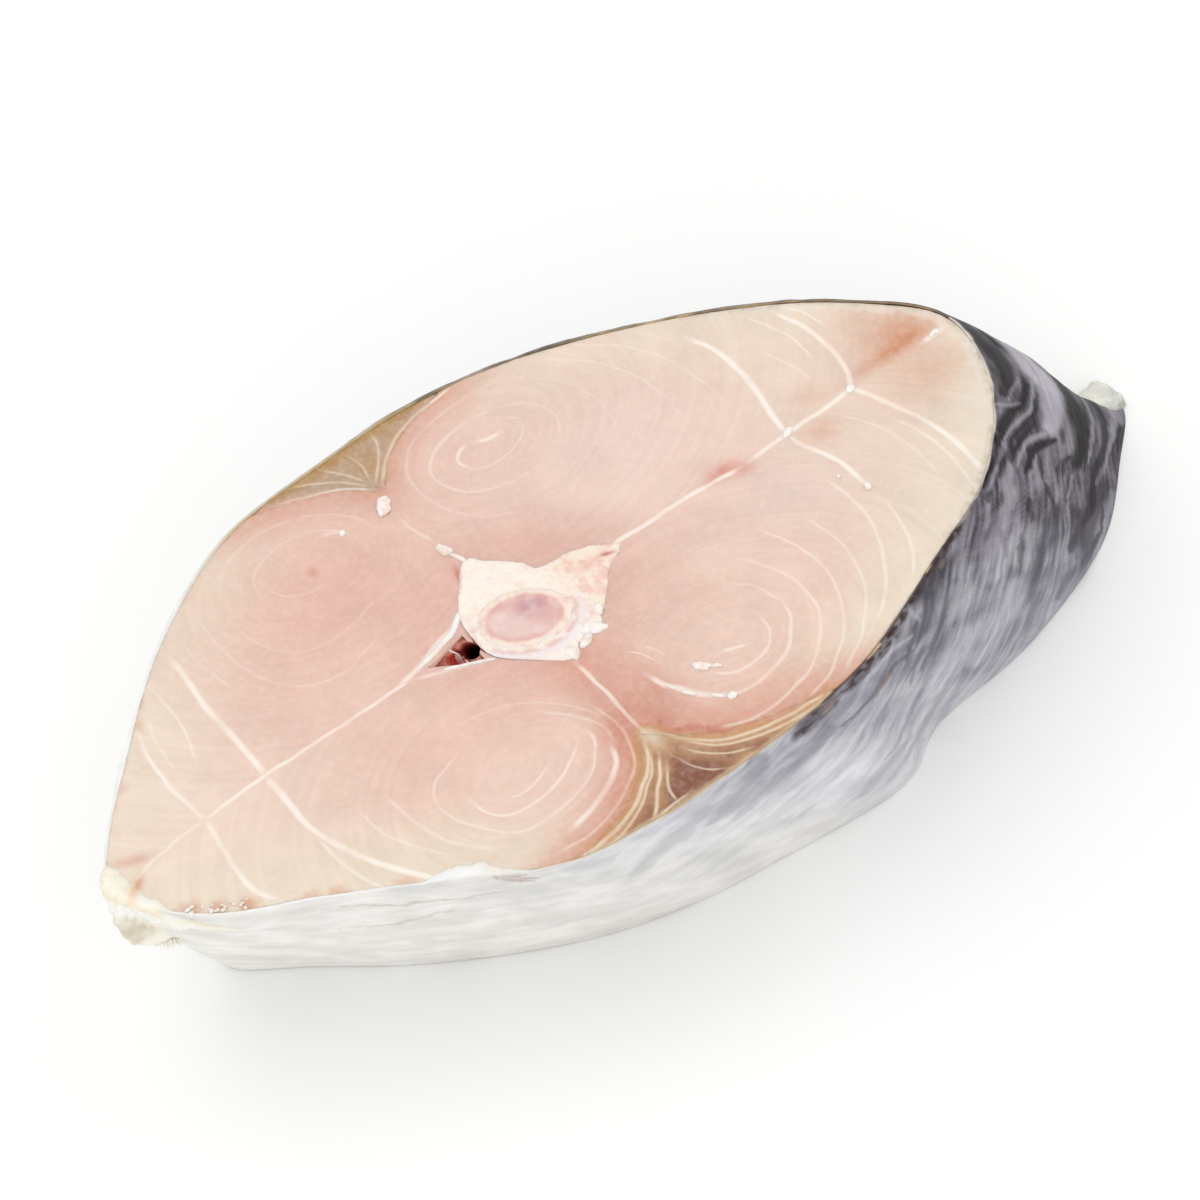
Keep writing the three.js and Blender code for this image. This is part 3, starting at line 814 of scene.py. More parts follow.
darkStrokes = [  # half width in mm, strength, and points as distance from the back ridge and height
    (2.4, 0.5, [(0, 10.4), (7, 10), (13, 8.4)]), (2.2, 0.5, [(26, 8), (31, 5), (37, 4.5)]),
    (1.6, 0.85, [(0, 28.3), (4.6, 28.9), (5.6, 28.3), (7.1, 27.1), (9.4, 26.6), (12.1, 26.8),
                 (14.9, 28.1)]),
    (0.8, 1, [(0, 25.8), (4.1, 26.1), (5.9, 24.6), (7.9, 23.6), (10.4, 23.3), (13.4, 23.8), (15.9, 24.6),
              (17.6, 26.3)]),
    (1.1, 1, [(16.6, 26), (19.4, 27.6), (21.6, 28.6), (24.6, 29.3)]),
    (0.5, 0.85, [(9.4, 20.7), (13.4, 21.3), (15.9, 21.8), (18.1, 23.1), (20.4, 24.8), (22.6, 26.3),
                 (24.6, 26.6), (26.9, 26)]),
    (0.58, 0.9, [(18.4, 21.9), (20.9, 23.8), (23.1, 25.1), (25.8, 26.2)]),
    (0.7, 1, [(20, 17.4), (21.9, 20.1), (23.1, 21.6), (24.9, 22.3), (27.6, 22.8)]),
    (2.1, 1, [(0, 14.2), (5, 14), (9, 14.2), (12.4, 13.3), (13.9, 11.8), (16.1, 10.8), (18.9, 10.8),
              (22.4, 11.9)]),
    (1.1, 0.95, [(0, 7.5), (6, 7), (11.6, 5.8), (13.9, 5.1), (16.4, 5.1), (19.1, 5.8), (21.9, 7.1),
                 (25.9, 7.4)]),
    (0.5, 0.9, [(16.6, 10.3), (20.1, 9.6), (23.4, 10.2)]),
    (0.42, 0.6, [(2, 1.2), (10.1, 1.3), (13.1, 1.6), (17.6, 2.8)]),
    (0.42, 0.7, [(17.2, 16.5), (20.2, 15.6)]), (0.5, 0.8, [(21.6, 13.2), (23.6, 15.1), (25.8, 14.7)]),
    (0.58, 0.85, [(27.4, 29.7), (29.9, 29.5), (32.6, 29.8)]),
    (0.83, 0.85, [(25.2, 28.4), (27.6, 27.6), (29.9, 27.2)]), (0.5, 0.6, [(31.9, 29), (34.8, 27.8)]),
    (0.5, 0.7, [(24.2, 20.6), (27.6, 19)]), (0.5, 0.75, [(28.2, 18.3), (30.4, 16.1), (32.8, 13.9)]),
    (0.5, 0.6, [(25.8, 13.5), (29.7, 12.6)]), (0.58, 0.65, [(31.7, 20.9), (35.1, 18)]),
    (1.4, 0.95, [(24.6, 7.3), (27.9, 6.3), (31.4, 6.8)]),
    (1.17, 0.8, [(30.1, 8.6), (33.4, 7.3), (36.6, 7)]), (0.5, 0.8, [(25.2, 4), (28.6, 2.8), (31.4, 1.9)]),
    (1, 0.85, [(31.6, 1.9), (34.6, 3.1), (37.1, 3.3), (39.1, 3.8), (41.6, 4.1), (44.6, 2.5)]),
    (1.17, 0.6, [(48, 28), (51.6, 27.1), (54.1, 26.1), (56.6, 25.1), (60.2, 23.6)]),
    (0.5, 0.7, [(54.6, 21.6), (58.1, 20.3), (60.6, 19.1), (64.2, 17.4)]),
    (0.58, 0.85, [(57.2, 26.6), (60.6, 24.6), (63.6, 22.7)]),
    (0.33, 0.6, [(60.6, 21.1), (64.1, 19.3), (67, 17.2)]),
    (0.58, 0.8, [(61.9, 23), (64.6, 24.3), (66.6, 24.1), (68.6, 23.6), (70.9, 23.3), (73.1, 23.3),
                 (76.4, 23.2)]),
    (0.83, 0.5, [(74.6, 24.8), (77.1, 24.3), (79.1, 24.1), (83.6, 23.8), (86.9, 23.2), (92.4, 21.8),
                 (96.6, 20.2)]),
    (0.42, 0.45, [(60.9, 17.2), (66.1, 13.8), (71.4, 11.3), (75.6, 9.8), (79.4, 9.6)]),
    (0.67, 0.4, [(58, 13.6), (63.6, 9.1), (68.4, 6.6), (73.4, 5.1), (78.9, 4.8), (83, 4.5)]),
    (1, 0.4, [(74.8, 7), (79.4, 7.8), (82.4, 7.6), (87, 5.6)]), (0.58, 0.7, [(78.2, 29.9), (81, 27.9)]),
    (0.5, 0.5, [(37.8, 18.6), (42, 16.1)]), (0.5, 0.5, [(38.2, 22.6), (42.2, 18.8)]),
    (1, 0.35, [(34.6, 15), (40.4, 12.1), (46.8, 8)]), (0.5, 0.4, [(32.6, 26.4), (38.2, 24.8)]),
    (1.2, 0.4, [(96, 26.2), (105.1, 23.3), (111, 20)]),
    (1.4, 0.45, [(85, 29.2), (91.4, 25.1), (98, 22.6)]),
    (0.9, 0.3, [(71.4, 27), (76.9, 25.6), (83.4, 25.5)]), (1, 0.35, [(98.4, 26), (102.8, 22.7)]),
    (1, 0.35, [(102.4, 25), (107.8, 22.2)]), (1.4, 0.25, [(49, 24.5), (52, 23.3), (56, 21.5)]),
    (1.4, 0.25, [(59, 26), (62, 25.3), (66, 24.5)]),
    (1.6, 0.65, [(11, 9.6), (16, 8.9), (21, 8.8), (27, 7.6)]),
    (2.4, 0.7, [(23, 5), (29, 5.6), (35, 5.4)]),
]
rimStrokes = [  # torn dark skin along the cut
    (0.9, 1, [(38.4, 30.1), (44.4, 30.1), (49.8, 29.8)]),
    (0.9, 1, [(51.2, 30), (53.1, 29.8), (55.6, 30)]),
    (1.3, 1, [(57.4, 29.9), (62.4, 29.4), (66.9, 29.2), (71, 29)]),
    (1.2, 0.9, [(72.4, 29.2), (75.6, 28.8), (79.8, 28.1)]),
]
# Paler streaks of the skin, which lighten its colour; the broad stroke by the back ridge at 21 mm up is a
# painted sheen.
paleAndSheenStrokes = [
    (0.33, 0.8, [(9, 21.9), (13.6, 22.3), (16.4, 22.8), (18.6, 24.8), (21.1, 26.8), (24.2, 28.6)]),
    # a painted sheen along the back ridge
    (2.6, 1.3, [(0, 21), (4, 21.4), (7.6, 21.4), (9.4, 19.6), (11.6, 18.2), (14.1, 18), (18.1, 18.6)]),
    (0.45, 0.8, [(18.3, 17.6), (20.6, 21.1), (22.1, 23.1), (24.1, 24.3), (27, 24.7)]),
    (0.42, 0.6, [(24.2, 21.1), (28.2, 21.7)]), (0.5, 0.35, [(24.2, 6.4), (21.1, 4.8), (17.8, 3.3)]),
    (1.1, 0.6, [(27.4, 26.3), (30.9, 25.6), (34.1, 22.9)]),
    (0.22, 0.7, [(11, 24.5), (14.4, 26.6), (16.2, 27.3)]), (1.6, 0.7, [(6.5, 4), (9, 2.4), (11.5, 1.2)]),
    (0.42, 0.7, [(4, 9.2), (14.9, 8.3), (18.1, 8.6), (21.2, 8.9)]),
    (0.58, 0.6, [(3, 3.4), (11.4, 2.8), (15.4, 3.1), (20.4, 4.5)]),
    (0.33, 0.7, [(17.6, 29.8), (17.1, 27.3), (15.8, 24.9)]), (0.5, 0.5, [(24.8, 12.5), (28.8, 12.6)]),
    (0.5, 0.6, [(28.4, 28.6), (32.8, 28.6)]), (0.5, 0.5, [(23.6, 27.9), (27.8, 28.7)]),
    (0.45, 0.5, [(59.9, 25.4), (63.4, 27.3), (66.1, 27.6), (70.8, 27.2)]),
    (0.4, 0.35, [(56.3, 29.2), (57.2, 25.9)]), (2.6, 0.42, [(35, 24), (40, 21.9), (46, 18.6)]),
    (2.8, 0.42, [(46, 13.4), (52, 10.4), (59, 7.6)]), (1.5, 0.25, [(39, 4.6), (43, 3.3), (48, 2)]),
    (2.4, 0.4, [(56, 15.4), (61, 13.2), (67, 10.4)]), (2.2, 0.25, [(78, 15), (84, 12.3), (90, 10)]),
    (1.6, 0.25, [(69, 27.4), (72, 26.3), (76, 25)]),
]
stainStrokes = [  # faint brown smears
    (0.28, 0.5, [(124.4, 24.9), (128.1, 24.3), (133.4, 25.3), (135.9, 25.1), (142, 27)]),
    (0.28, 0.4, [(131.4, 21.6), (136.6, 20.1), (140.6, 19.1), (146, 20)]),
    (0.35, 0.75, [(117.6, 27.4), (119.4, 28.8)]), (0.35, 0.75, [(118.8, 27), (120.8, 28.8)]),
    (0.3, 0.7, [(120.2, 27.4), (121.8, 29)]), (0.45, 0.6, [(118, 29.3), (121.6, 29.5)]),
    (0.35, 0.6, [(46, 28.4), (48, 28)]), (0.4, 0.6, [(66.4, 24.4), (70.4, 22.1)]),
    (0.5, 0.7, [(73, 29.4), (75.4, 28)]),
]
outerAngles = np.linspace(-pi, pi, 4000)
outerX, outerY = wallPoint(outerAngles, 20)
outerLength = np.concatenate([[0], np.cumsum(np.hypot(np.diff(outerX), np.diff(outerY)))])
backLength = float(np.interp(0, outerAngles, outerLength))


def angleAlong(length):  # direction of a place on the wall, by its distance round from the belly edge
    return np.interp(length, outerLength, outerAngles)


def rampOf(stops, column, value):
    colours = np.array([toLinear(stop[column]) for stop in stops])
    return np.column_stack([np.interp(value, [s[0] for s in stops], colours[:, i]) for i in range(3)])


def skinSection():  # height and depth below the outer face, once round the band's section
    half = skinBand["rimThickness"] / 2
    top = cut["thickness"] - half
    wall = [(z, 0.0) for z in np.linspace(skinBand["lift"], top, skinBand["wallRows"] + 1)]
    turns = np.linspace(0, pi, skinBand["rimRows"] + 1)[1:-1]
    rim = [(top + half * np.sin(t), half * (1 - np.cos(t))) for t in turns]
    return np.array(wall + rim + list(skinBand["inner"]) + [(skinBand["lift"], 0.0)])


def strokeCover(strokes, x, y):  # how far each point lies under soft tapered strokes, 0 to 1
    cover = np.zeros_like(x)
    for halfWidth, strength, points in strokes:
        places, _ = curveThrough(points, 0.35)
        width = halfWidth * (0.3 + 0.7 * np.sin(pi * np.linspace(0.04, 0.96, len(places))) ** 0.6)
        low, high = places.min(0) - 2 * halfWidth, places.max(0) + 2 * halfWidth
        near = np.flatnonzero((x > low[0]) & (x < high[0]) & (y > low[1]) & (y < high[1]))
        if len(near):
            gap = np.hypot(x[near, None] - places[:, 0], y[near, None] - places[:, 1]) / width
            cover[near] = np.maximum(cover[near], strength * smooth(gap.min(1), 1.72, 0.5))
    return cover


def patternOf(round3, fromBack, z, level, side, isNear):  # share of the lighter colour, and the strokes
    ragged = noiseAt(round3 + 61, (1.5, 1.5, 2.6), 2)
    loose = np.where(isNear, 0.25, 2.2) * smooth(fromBack, 0, 12)
    x = fromBack + 0.3 * ragged + loose * noiseAt(round3 + 12, 8, 2)
    y = z + 0.35 * ragged + 0.8 * loose * noiseAt(round3 + 140, 8, 2)
    kinds = darkStrokes, paleAndSheenStrokes, stainStrokes, rimStrokes
    dark, light, stain, torn = (strokeCover(strokes, x, y) for strokes in kinds)
    lines = np.column_stack([fromBack * 0.08, level * 0.85, side * 0.2])
    grain = noiseAt(lines + 4, 1, 2)
    fineGrain = noiseAt(lines * (2.2, 2.2, 1) + 20, 1, 2)
    blotch = noiseAt(round3 * (1, 1, 1.5) + 33, 8, 3)
    mottle = noiseAt(round3 + 200, (3.4, 3.4, 1.9), 3)
    belly = 0.75 * smooth(fromBack, 78, 112)  # short mottling takes the place of long streaks there
    grain, fineGrain = grain * (1 - belly) + mottle * belly, fineGrain * (1 - belly)
    calm = smooth(fromBack, 14, 28)  # the strokes make the pattern near the ridge
    share = 0.5 + (0.2 + 0.12 * calm) * grain + (0.12 + 0.17 * calm) * fineGrain + 0.42 * blotch
    share = smooth(share, 0, 1) * (1 - dark)
    speckle = 0.5 + 0.5 * smooth(noiseAt(round3 + 77, (1.3, 1.3, 0.8), 2), -0.4, 0.2)
    torn = torn * isNear * (1 - light) * speckle
    return share + (1 - share) * light, light, dark * (1 - light), stain * isNear, torn


def roundPlaces(around, z):  # the wall rolled into a drum, so that noise has no seam
    total = outerLength[-1]
    return total / (2 * pi) * np.column_stack([np.cos(around), np.sin(around), z * 2 * pi / total])


def shapeSkin():
    section = skinSection()
    rows = len(section) - 1
    flap = skinBand["flap"]
    total = outerLength[-1]
    top = cut["thickness"] - skinBand["rimThickness"] / 2

    def place(u, v):
        row = np.rint(v * rows).astype(int)
        z, depth = section[row].T
        angle = angleAlong(u * total)
        x, y, outX, outY = wallFrame(angle, z)
        backX, _ = raised(x, y, z)
        isNear = angle < 0
        round3 = roundPlaces(2 * pi * u, z)
        out = skinBand["wrinkle"] * noiseAt(round3, (9, 9, 2.2), 2)
        out += skinBand["crease"] * noiseAt(round3 + 30, (26, 26, 6), 2)
        fromBack = np.abs(u * total - backLength)
        for middle, radius, height in skinBand["folds"]:
            out += height * spot(fromBack, z, middle, radius) * isNear
        out *= smooth(z, 0.1, 2) * smooth(depth, 0.5, 0)
        lip = smooth(z, cut["thickness"] - 3, top)
        wave = skinBand["rimWave"] * noiseAt(round3 * (1, 1, 0), 7, 4) * lip
        share = smooth(backX, flap["from"], flap["full"]) * smooth(backX, flap["to"], flap["fading"])
        share *= isNear * (1 + 0.3 * noiseAt(round3 * (1, 1, 0) + 8, 1.6, 2))
        onTop = (z > top + 0.01) | ((depth > 0.45) & (z > 29.6))
        depth = depth + share * flap["over"] * onTop * np.minimum(depth, 0.5) / 0.5
        z = z + wave + share * flap["rise"] * lip
        return np.column_stack([x + outX * (out - depth), y + outY * (out - depth), z])

    return wrappedGrid("skin_band", skinBand["around"], rows, place)


def paintSkin(skin):
    points = readPoints(skin)
    z = points[:, 2]
    dx, dy, size, reach = centreToWall(points)
    depth = reach - size
    angle = np.arctan2(dy, dx)
    total = outerLength[-1]
    length = np.interp(angle, outerAngles, outerLength)
    isNear = angle < 0
    fromBack = np.abs(length - backLength) * np.where(isNear, 1, backLength / (total - backLength))
    backX, _ = raised(*points.T)
    around = 2 * pi * length / total
    round3 = roundPlaces(around, z)
    steps = np.linspace(0, total, 600)
    fall = np.interp((steps[1:] + steps[:-1]) / 2, *climbStops)
    climb = np.concatenate([[0], np.cumsum(fall * np.diff(steps))])
    level = z + np.interp(fromBack, steps, climb) + 0.6 * noiseAt(round3 + 12, 9, 2)
    side = 12 * np.sin(around)
    setVector(skin, "streak", np.column_stack([fromBack, level, side]))
    back = backX + 5 * noiseAt(round3 + 90, (18, 18, 8), 2) + 0.9 * (z - 18) * smooth(fromBack, 22, 42)
    pattern = patternOf(round3, fromBack, z, level, side, isNear)
    share, light, dark, stain, torn = (values[:, None] for values in pattern)
    tone = rampOf(skinTones, 1, back) * (1 - share) + rampOf(skinTones, 2, back) * share
    # Dark strokes darken the colour; pale strokes lighten it, the one on the back ridge as a painted sheen.
    tone = np.minimum(tone * (1 - 0.3 * dark) * (1 + 0.4 * light), 0.95) * skinBand["tint"]
    tone = tone * (1 - torn) + markTones["torn"] * torn
    tone = tone * (1 - 0.8 * stain) + markTones["stain"] * 0.8 * stain
    jag = noiseAt(round3 + 55, (3.5, 3.5, 2), 2)
    onRim = smooth(depth + 0.12 * jag, 0.1, 0.3) * smooth(z, cut["thickness"] - 0.7, cut["thickness"] - 0.4)
    rim = rampOf(rimTones, 1, np.where(isNear, backX, np.minimum(backX, 74)) + 2 * jag)
    fat = smooth(noiseAt(round3 + 8, 5, 2), 0.25, 0.4) * smooth(backX, 74, 78) * smooth(backX, 112, 108)
    rim = rim * (1 - fat[:, None]) + markTones["fat"] * fat[:, None]
    tone = tone * (1 - onRim[:, None]) + rim * onRim[:, None]
    setTone(skin, tone, 0.25 + 0.75 * smooth(back, 45, 90))  # the streaks show least by the belly


def skinFinish():  # wet scaleless fish skin over silver guanine: a satin metal sheen with streaks of pigment
    material, add = newMaterial("wet_silver_fish_skin")
    place = add("TexCoord", take="Object")
    tone = add("Attribute", attribute_name="tone")
    cover = add("Attribute", attribute_name="tone", take="Alpha")
    streak = add("Attribute", attribute_name="streak", take="Vector")
    longPlace = add("VectorMath", (streak, (0.09, 0.8, 0.1)), operation="MULTIPLY")  # 11 mm by 1.2 mm
    long = add("TexNoise", {
        "Vector": longPlace, "Scale": 1, "Detail": 4, "Roughness": 0.6, "Distortion": 0.5})
    shortPlace = add("VectorMath", (streak, (0.3, 1.9, 0.2)), operation="MULTIPLY")  # 3 mm by 0.5 mm
    short = add("TexNoise", {
        "Vector": shortPlace, "Scale": 1, "Detail": 3, "Roughness": 0.6, "Distortion": 0.3})
    fine = add("TexNoise", {"Vector": place, "Scale": 1000 / 0.5, "Roughness": 0.6})
    both = add("Math", (long, 0.6), operation="MULTIPLY")
    both = add("Math", (short, 0.4, both), operation="MULTIPLY_ADD")
    share = add("MapRange", (both, 0.36, 0.64), **softRange)
    shade = add("Mix", {0: share, 6: rgba("#dbdadf"), 7: rgba("#ffffff")}, **colourMix)
    base = add("Mix", {0: cover, 6: tone, 7: shade}, **tinting)
    height = add("Math", (both, 0.7), operation="MULTIPLY")
    height = add("Math", (fine, 0.3, height), operation="MULTIPLY_ADD")
    bump = add("Bump", {"Height": height, "Strength": 0.22, "Distance": 0.0004})
    shader = add("BsdfPrincipled", {
        "Base Color": base, "Roughness": add("MapRange", (short, 0.3, 0.7, 0.36, 0.52), **softRange),
        "Metallic": 0.04, "IOR": 1.4, "Normal": bump, "Specular IOR Level": 0.07,
        "Coat Weight": 0.04, "Coat Roughness": 0.25, "Coat IOR": waterIor,
    })
    add("OutputMaterial", (shader,))
    return material


skinPiece = shapeSkin()
paintSkin(skinPiece)
finishPiece(skinPiece, skinFinish(), ["skin"], 60)


# The vertebra and its core.
def rimPoints(name):  # points every 0.2 mm along the edge of a node's upper face
    bm = nodeCopy(name)
    rim = []
    for edge in bm.edges:
        a, b = (vert.co for vert in edge.verts)
        if min(a.z, b.z) > cut["thickness"] - 0.01 and edge.calc_face_angle(0) > 1:
            rim += [a.lerp(b, i / 12)[:2] for i in range(12)]
    bm.free()
    return rim


core = {
    "x": 60.1, "y": -2.45, "halfLength": 4.9, "halfWidth": 3.5, "turn": -0.32,
    "low": (53, -9), "high": (68, 4), "cell": 0.2, "grow": 1.0, "dome": 0.25,
}
vertebra = {
    "low": (51, -13), "high": (79, 12), "cell": 0.17, "grow": 0.06, "stands": 0.14,
    "ring": 0.05, "groove": 0.16, "outerRing": 0.2, "rough": 0.16, "edgeFall": 0.14,  # heights in mm
}
boneTones = palette({
    "cream": "#fbeee2", "warm": "#f6dcc8", "pink": "#e9b9ab", "blue": "#f0e3e4", "red": "#b9564a",
    "white": "#fffaf6", "gel": "#dfb4ae", "paleGel": "#e7c9c1", "mauve": "#bd8c95", "gelEdge": "#dfaba4",
})


def outOfCore(x, y):  # distance outside the oval of the core
    dx, dy = x - core["x"], y - core["y"]
    along = dx * np.cos(core["turn"]) + dy * np.sin(core["turn"])
    across = dy * np.cos(core["turn"]) - dx * np.sin(core["turn"])
    share = np.hypot(along / core["halfLength"], across / core["halfWidth"])
    return (share - 1) * np.hypot(along, across) / np.maximum(share, 0.05)


def makeVertebra():
    size = vertebra
    bone = cutSlab("vertebra_body", size["low"], size["high"], size["cell"])
    combine(bone, throughCutter("vertebra", size["grow"]), "INTERSECT")
    points = readPoints(bone)
    x, y = raised(*points.T)
    flat = flatPlaces(x, y)
    edge = distanceTo(nearestTree(rimPoints("vertebra")), x, y)
    out = outOfCore(x, y)
    wobble = 0.25 * noiseAt(flat, 2.5)
    lowSide = smooth(-(y + 0.4 * (x - 60)), -1.5, 3.5)  # towards the belly and the near flank
    ring = np.exp(-((out - 0.75 + wobble) / 0.4) ** 2)
    groove = np.exp(-((out - 1.7 + wobble) / 0.45) ** 2) * lowSide
    outer = np.exp(-((out - 2.4 + wobble) / 0.75) ** 2) * lowSide
    rough = smooth(x - 0.4 * y, 65.5, 70)  # broken gristle towards the near back block
    relief = size["stands"] + size["ring"] * ring - size["groove"] * groove + size["outerRing"] * outer
    relief += 0.1 * noiseAt(flat, 2.6, 2) + 0.05 * noiseAt(flat + 9, 0.7, 2)
    relief += size["rough"] * rough * noiseAt(flat + 3, 1.1, 3)
    relief -= size["edgeFall"] * np.exp(-np.maximum(edge - 0.05, 0) / 0.3) * smooth(out, 0.6, 1.6)
    isUpper, isLower = cutFaces(points)
    points[isUpper, 2] += relief[isUpper]
    points[isLower, 2] = np.maximum(0.02, 0.15 - relief[isLower] * 0.6)
    writePoints(bone, points)
    speck = noiseAt(flat + 33, 1.3, 2)
    coreEdge = smooth(np.abs(out), 0.5, 0.1) * lowSide
    coreSpecks = smooth(np.abs(out - 0.9), 0.35, 0.05) * smooth(speck, 0, 0.3) * smooth(y, -3, 0)
    smallSpots = 0.6 * spot(x, y, (70.2, -5.6), (1.6, 0.8), -0.9) + 0.5 * spot(x, y, (66.2, 3.6), (0.9, 0.6))
    redEdge = smooth(edge, 0.5, 0.05) * smooth(x, 61, 58) * smooth(y, 5, 7.5)
    setTone(bone, layTones(
        boneTones, "cream",
        ("warm", 0.5 * smooth(x, 64, 70) + 0.3 * smooth(speck, 0, 0.5)),
        ("pink", groove * smooth(speck, -0.6, 0.1) + 0.5 * coreEdge),
        ("pink", 0.5 * coreSpecks),
        ("pink", 0.75 * spot(x, y, (71.4, -1.3), (1.8, 0.9)) + 0.5 * smooth(speck, 0.1, 0.5) * rough),
        ("pink", smallSpots),
        ("blue", 0.9 * outer + 0.35 * ring),
        ("white", 0.9 * spot(x, y, (64.8, -9.2), (2, 0.9)) + 0.9 * spot(x, y, (61, -10.7), (0.9, 1))),
        ("red", 0.9 * spot(x, y, (74.4, -1.5), (1.1, 0.28), -0.35)),
        ("red", 0.45 * redEdge),
    ))
    finishPiece(bone, boneFinish(), ["vertebra"], 50)


def makeCore():
    gel = cutSlab("vertebra_core_body", core["low"], core["high"], core["cell"])
    combine(gel, throughCutter("vertebra_core", core["grow"]), "INTERSECT")
    points = readPoints(gel)
    x, y = raised(*points.T)
    flat = flatPlaces(x, y)
    out = outOfCore(x, y)
    relief = core["dome"] - 0.3 * smooth(out, 0.6, 1.5) + 0.1 * noiseAt(flat, 2.6, 2) * smooth(out, 0.6, -0.4)
    isUpper, isLower = cutFaces(points)
    points[isUpper, 2] += relief[isUpper]
    points[isLower, 2] = np.maximum(0.03, 0.1 - relief[isLower] * 0.5)
    writePoints(gel, points)
    setTone(gel, layTones(
        boneTones, "gel",
        ("paleGel", smooth(x + 0.5 * y, 60.5, 57.5)),
        ("mauve", 0.75 * spot(x, y, (62.2, -1.5), (1.9, 1.5))),
        ("gelEdge", 0.7 * smooth(out, -1.1, -0.2)),
        ("cream", smooth(out + 0.2 * noiseAt(flat + 4, 1.2, 2), -0.15, 0.45)),
        ("warm", 0.55 * smooth(out, -0.2, 0.3)),
        ("pink", 0.5 * smooth(out, -0.1, 0.2) * smooth(noiseAt(flat + 33, 1.0, 2), 0, 0.4)),
    ))
    finishPiece(gel, gelFinish(), ["vertebra_core"], 60)


def boneFinish():  # fresh sawn bone and gristle: matt and porous under a film of water
    material, add = newMaterial("fresh_cut_bone")
    place = add("TexCoord", take="Object")
    tone = add("Attribute", attribute_name="tone")
    pores = add("TexVoronoi", {"Vector": place, "Scale": 1000 / 0.8})
    fine = add("TexNoise", {"Vector": place, "Scale": 1000 / 0.7, "Detail": 4, "Roughness": 0.65})
    patches = add("TexNoise", {"Vector": place, "Scale": 1000 / 2.4, "Detail": 3})
    share = add("MapRange", (pores, 0.35, 0.05, 0, 0.3), **softRange)
    base = add("Mix", {0: share, 6: tone, 7: rgba("#eac0ab")}, **colourMix)
    share = add("MapRange", (patches, 0.52, 0.75, 0, 0.35), **softRange)
    base = add("Mix", {0: share, 6: base, 7: rgba("#f1cdbb")}, **colourMix)
    height = add("Math", (pores, 0.6, fine), operation="MULTIPLY_ADD")
    bump = add("Bump", {"Height": height, "Strength": 0.5, "Distance": 0.0003})
    shader = add("BsdfPrincipled", {
        "Base Color": base, "Roughness": add("MapRange", (patches, 0.3, 0.7, 0.3, 0.5), **softRange),
        "IOR": 1.45, "Normal": bump, "Subsurface Weight": 0.25, "Subsurface Radius": (1, 0.6, 0.45),
        "Subsurface Scale": 0.0008, "Coat Weight": 0.35, "Coat Roughness": 0.2, "Coat IOR": waterIor,
    })
    add("OutputMaterial", (shader,))
    return material


def gelFinish():  # clear jelly: light goes deep, and the wet top mirrors the lamps
    material, add = newMaterial("clear_pink_jelly")
    place = add("TexCoord", take="Object")
    tone = add("Attribute", attribute_name="tone")
    cloud = add("TexNoise", {"Vector": place, "Scale": 1000 / 2, "Detail": 3})
    share = add("MapRange", (cloud, 0.45, 0.7, 0, 0.35), **softRange)
    base = add("Mix", {0: share, 6: tone, 7: rgba("#f3dfdb")}, **colourMix)
    bump = add("Bump", {"Height": cloud, "Strength": 0.25, "Distance": 0.0005})
    shader = add("BsdfPrincipled", {
        "Base Color": base, "Roughness": 0.22, "IOR": 1.36, "Normal": bump,
        "Subsurface Weight": 0.35, "Subsurface Radius": (1, 0.8, 0.75), "Subsurface Scale": 0.0012,
        "Coat Weight": 0.5, "Coat Roughness": 0.08, "Coat IOR": waterIor,
    })
    add("OutputMaterial", (shader,))
    return material


makeVertebra()
makeCore()


# Small pieces: blocks bent to shape, and tapered cords.
def bentBlock(name, across, up, place):  # a slab of cells; place gives the points for shares u, v and w of it
    bm = bmesh.new()
    bmesh.ops.create_grid(bm, x_segments=across, y_segments=up, size=0.5)
    extrudeTo(bm, 1)
    piece = meshObject(bm, name)
    points = readPoints(piece)
    writePoints(piece, place(points[:, 0] + 0.5, points[:, 1] + 0.5, points[:, 2]))
    bm = bmesh.new()
    bm.from_mesh(piece.data)
    bmesh.ops.recalc_face_normals(bm, faces=bm.faces[:])
    bm.to_mesh(piece.data)
    bm.free()
    return piece


def cordAlong(name, points, radius, height, seed):  # a cord that lies in the cut and tapers at both ends
    flat, _ = curveThrough([p[:2] for p in points], 0.12)
    steps = np.arange(len(flat))
    knots = np.linspace(0, 1, len(points))
    level = np.interp(np.linspace(0, 1, len(flat)), knots, [p[2] for p in points])
    ax, ay = np.gradient(flat, axis=0).T
    size = np.hypot(ax, ay)

    def place(u, v):
        at = v * (len(flat) - 1)
        turn = 2 * pi * u
        path = (flat[:, 0], flat[:, 1], level, -ay / size, ax / size)
        x, y, z, sideX, sideY = (np.interp(at, steps, values) for values in path)
        taper = np.sqrt(np.clip(1 - (2 * v - 1) ** 6, 0, 1))
        rough = 1 + 0.28 * noiseAt(np.column_stack([x, y, z + turn + seed]), 1.3, 2)
        side = radius * taper * rough * np.cos(turn)
        up = height * taper * rough * np.sin(turn)
        return np.column_stack([x + sideX * side, y + sideY * side, z + up])

    return wrappedGrid(name, 14, len(flat) - 1, place, poles=True)


def joinPieces(name, pieces):  # several closed meshes as one piece
    bm = bmesh.new()
    for piece in pieces:
        bm.from_mesh(piece.data)
        bpy.data.objects.remove(piece)
    return meshObject(bm, name)
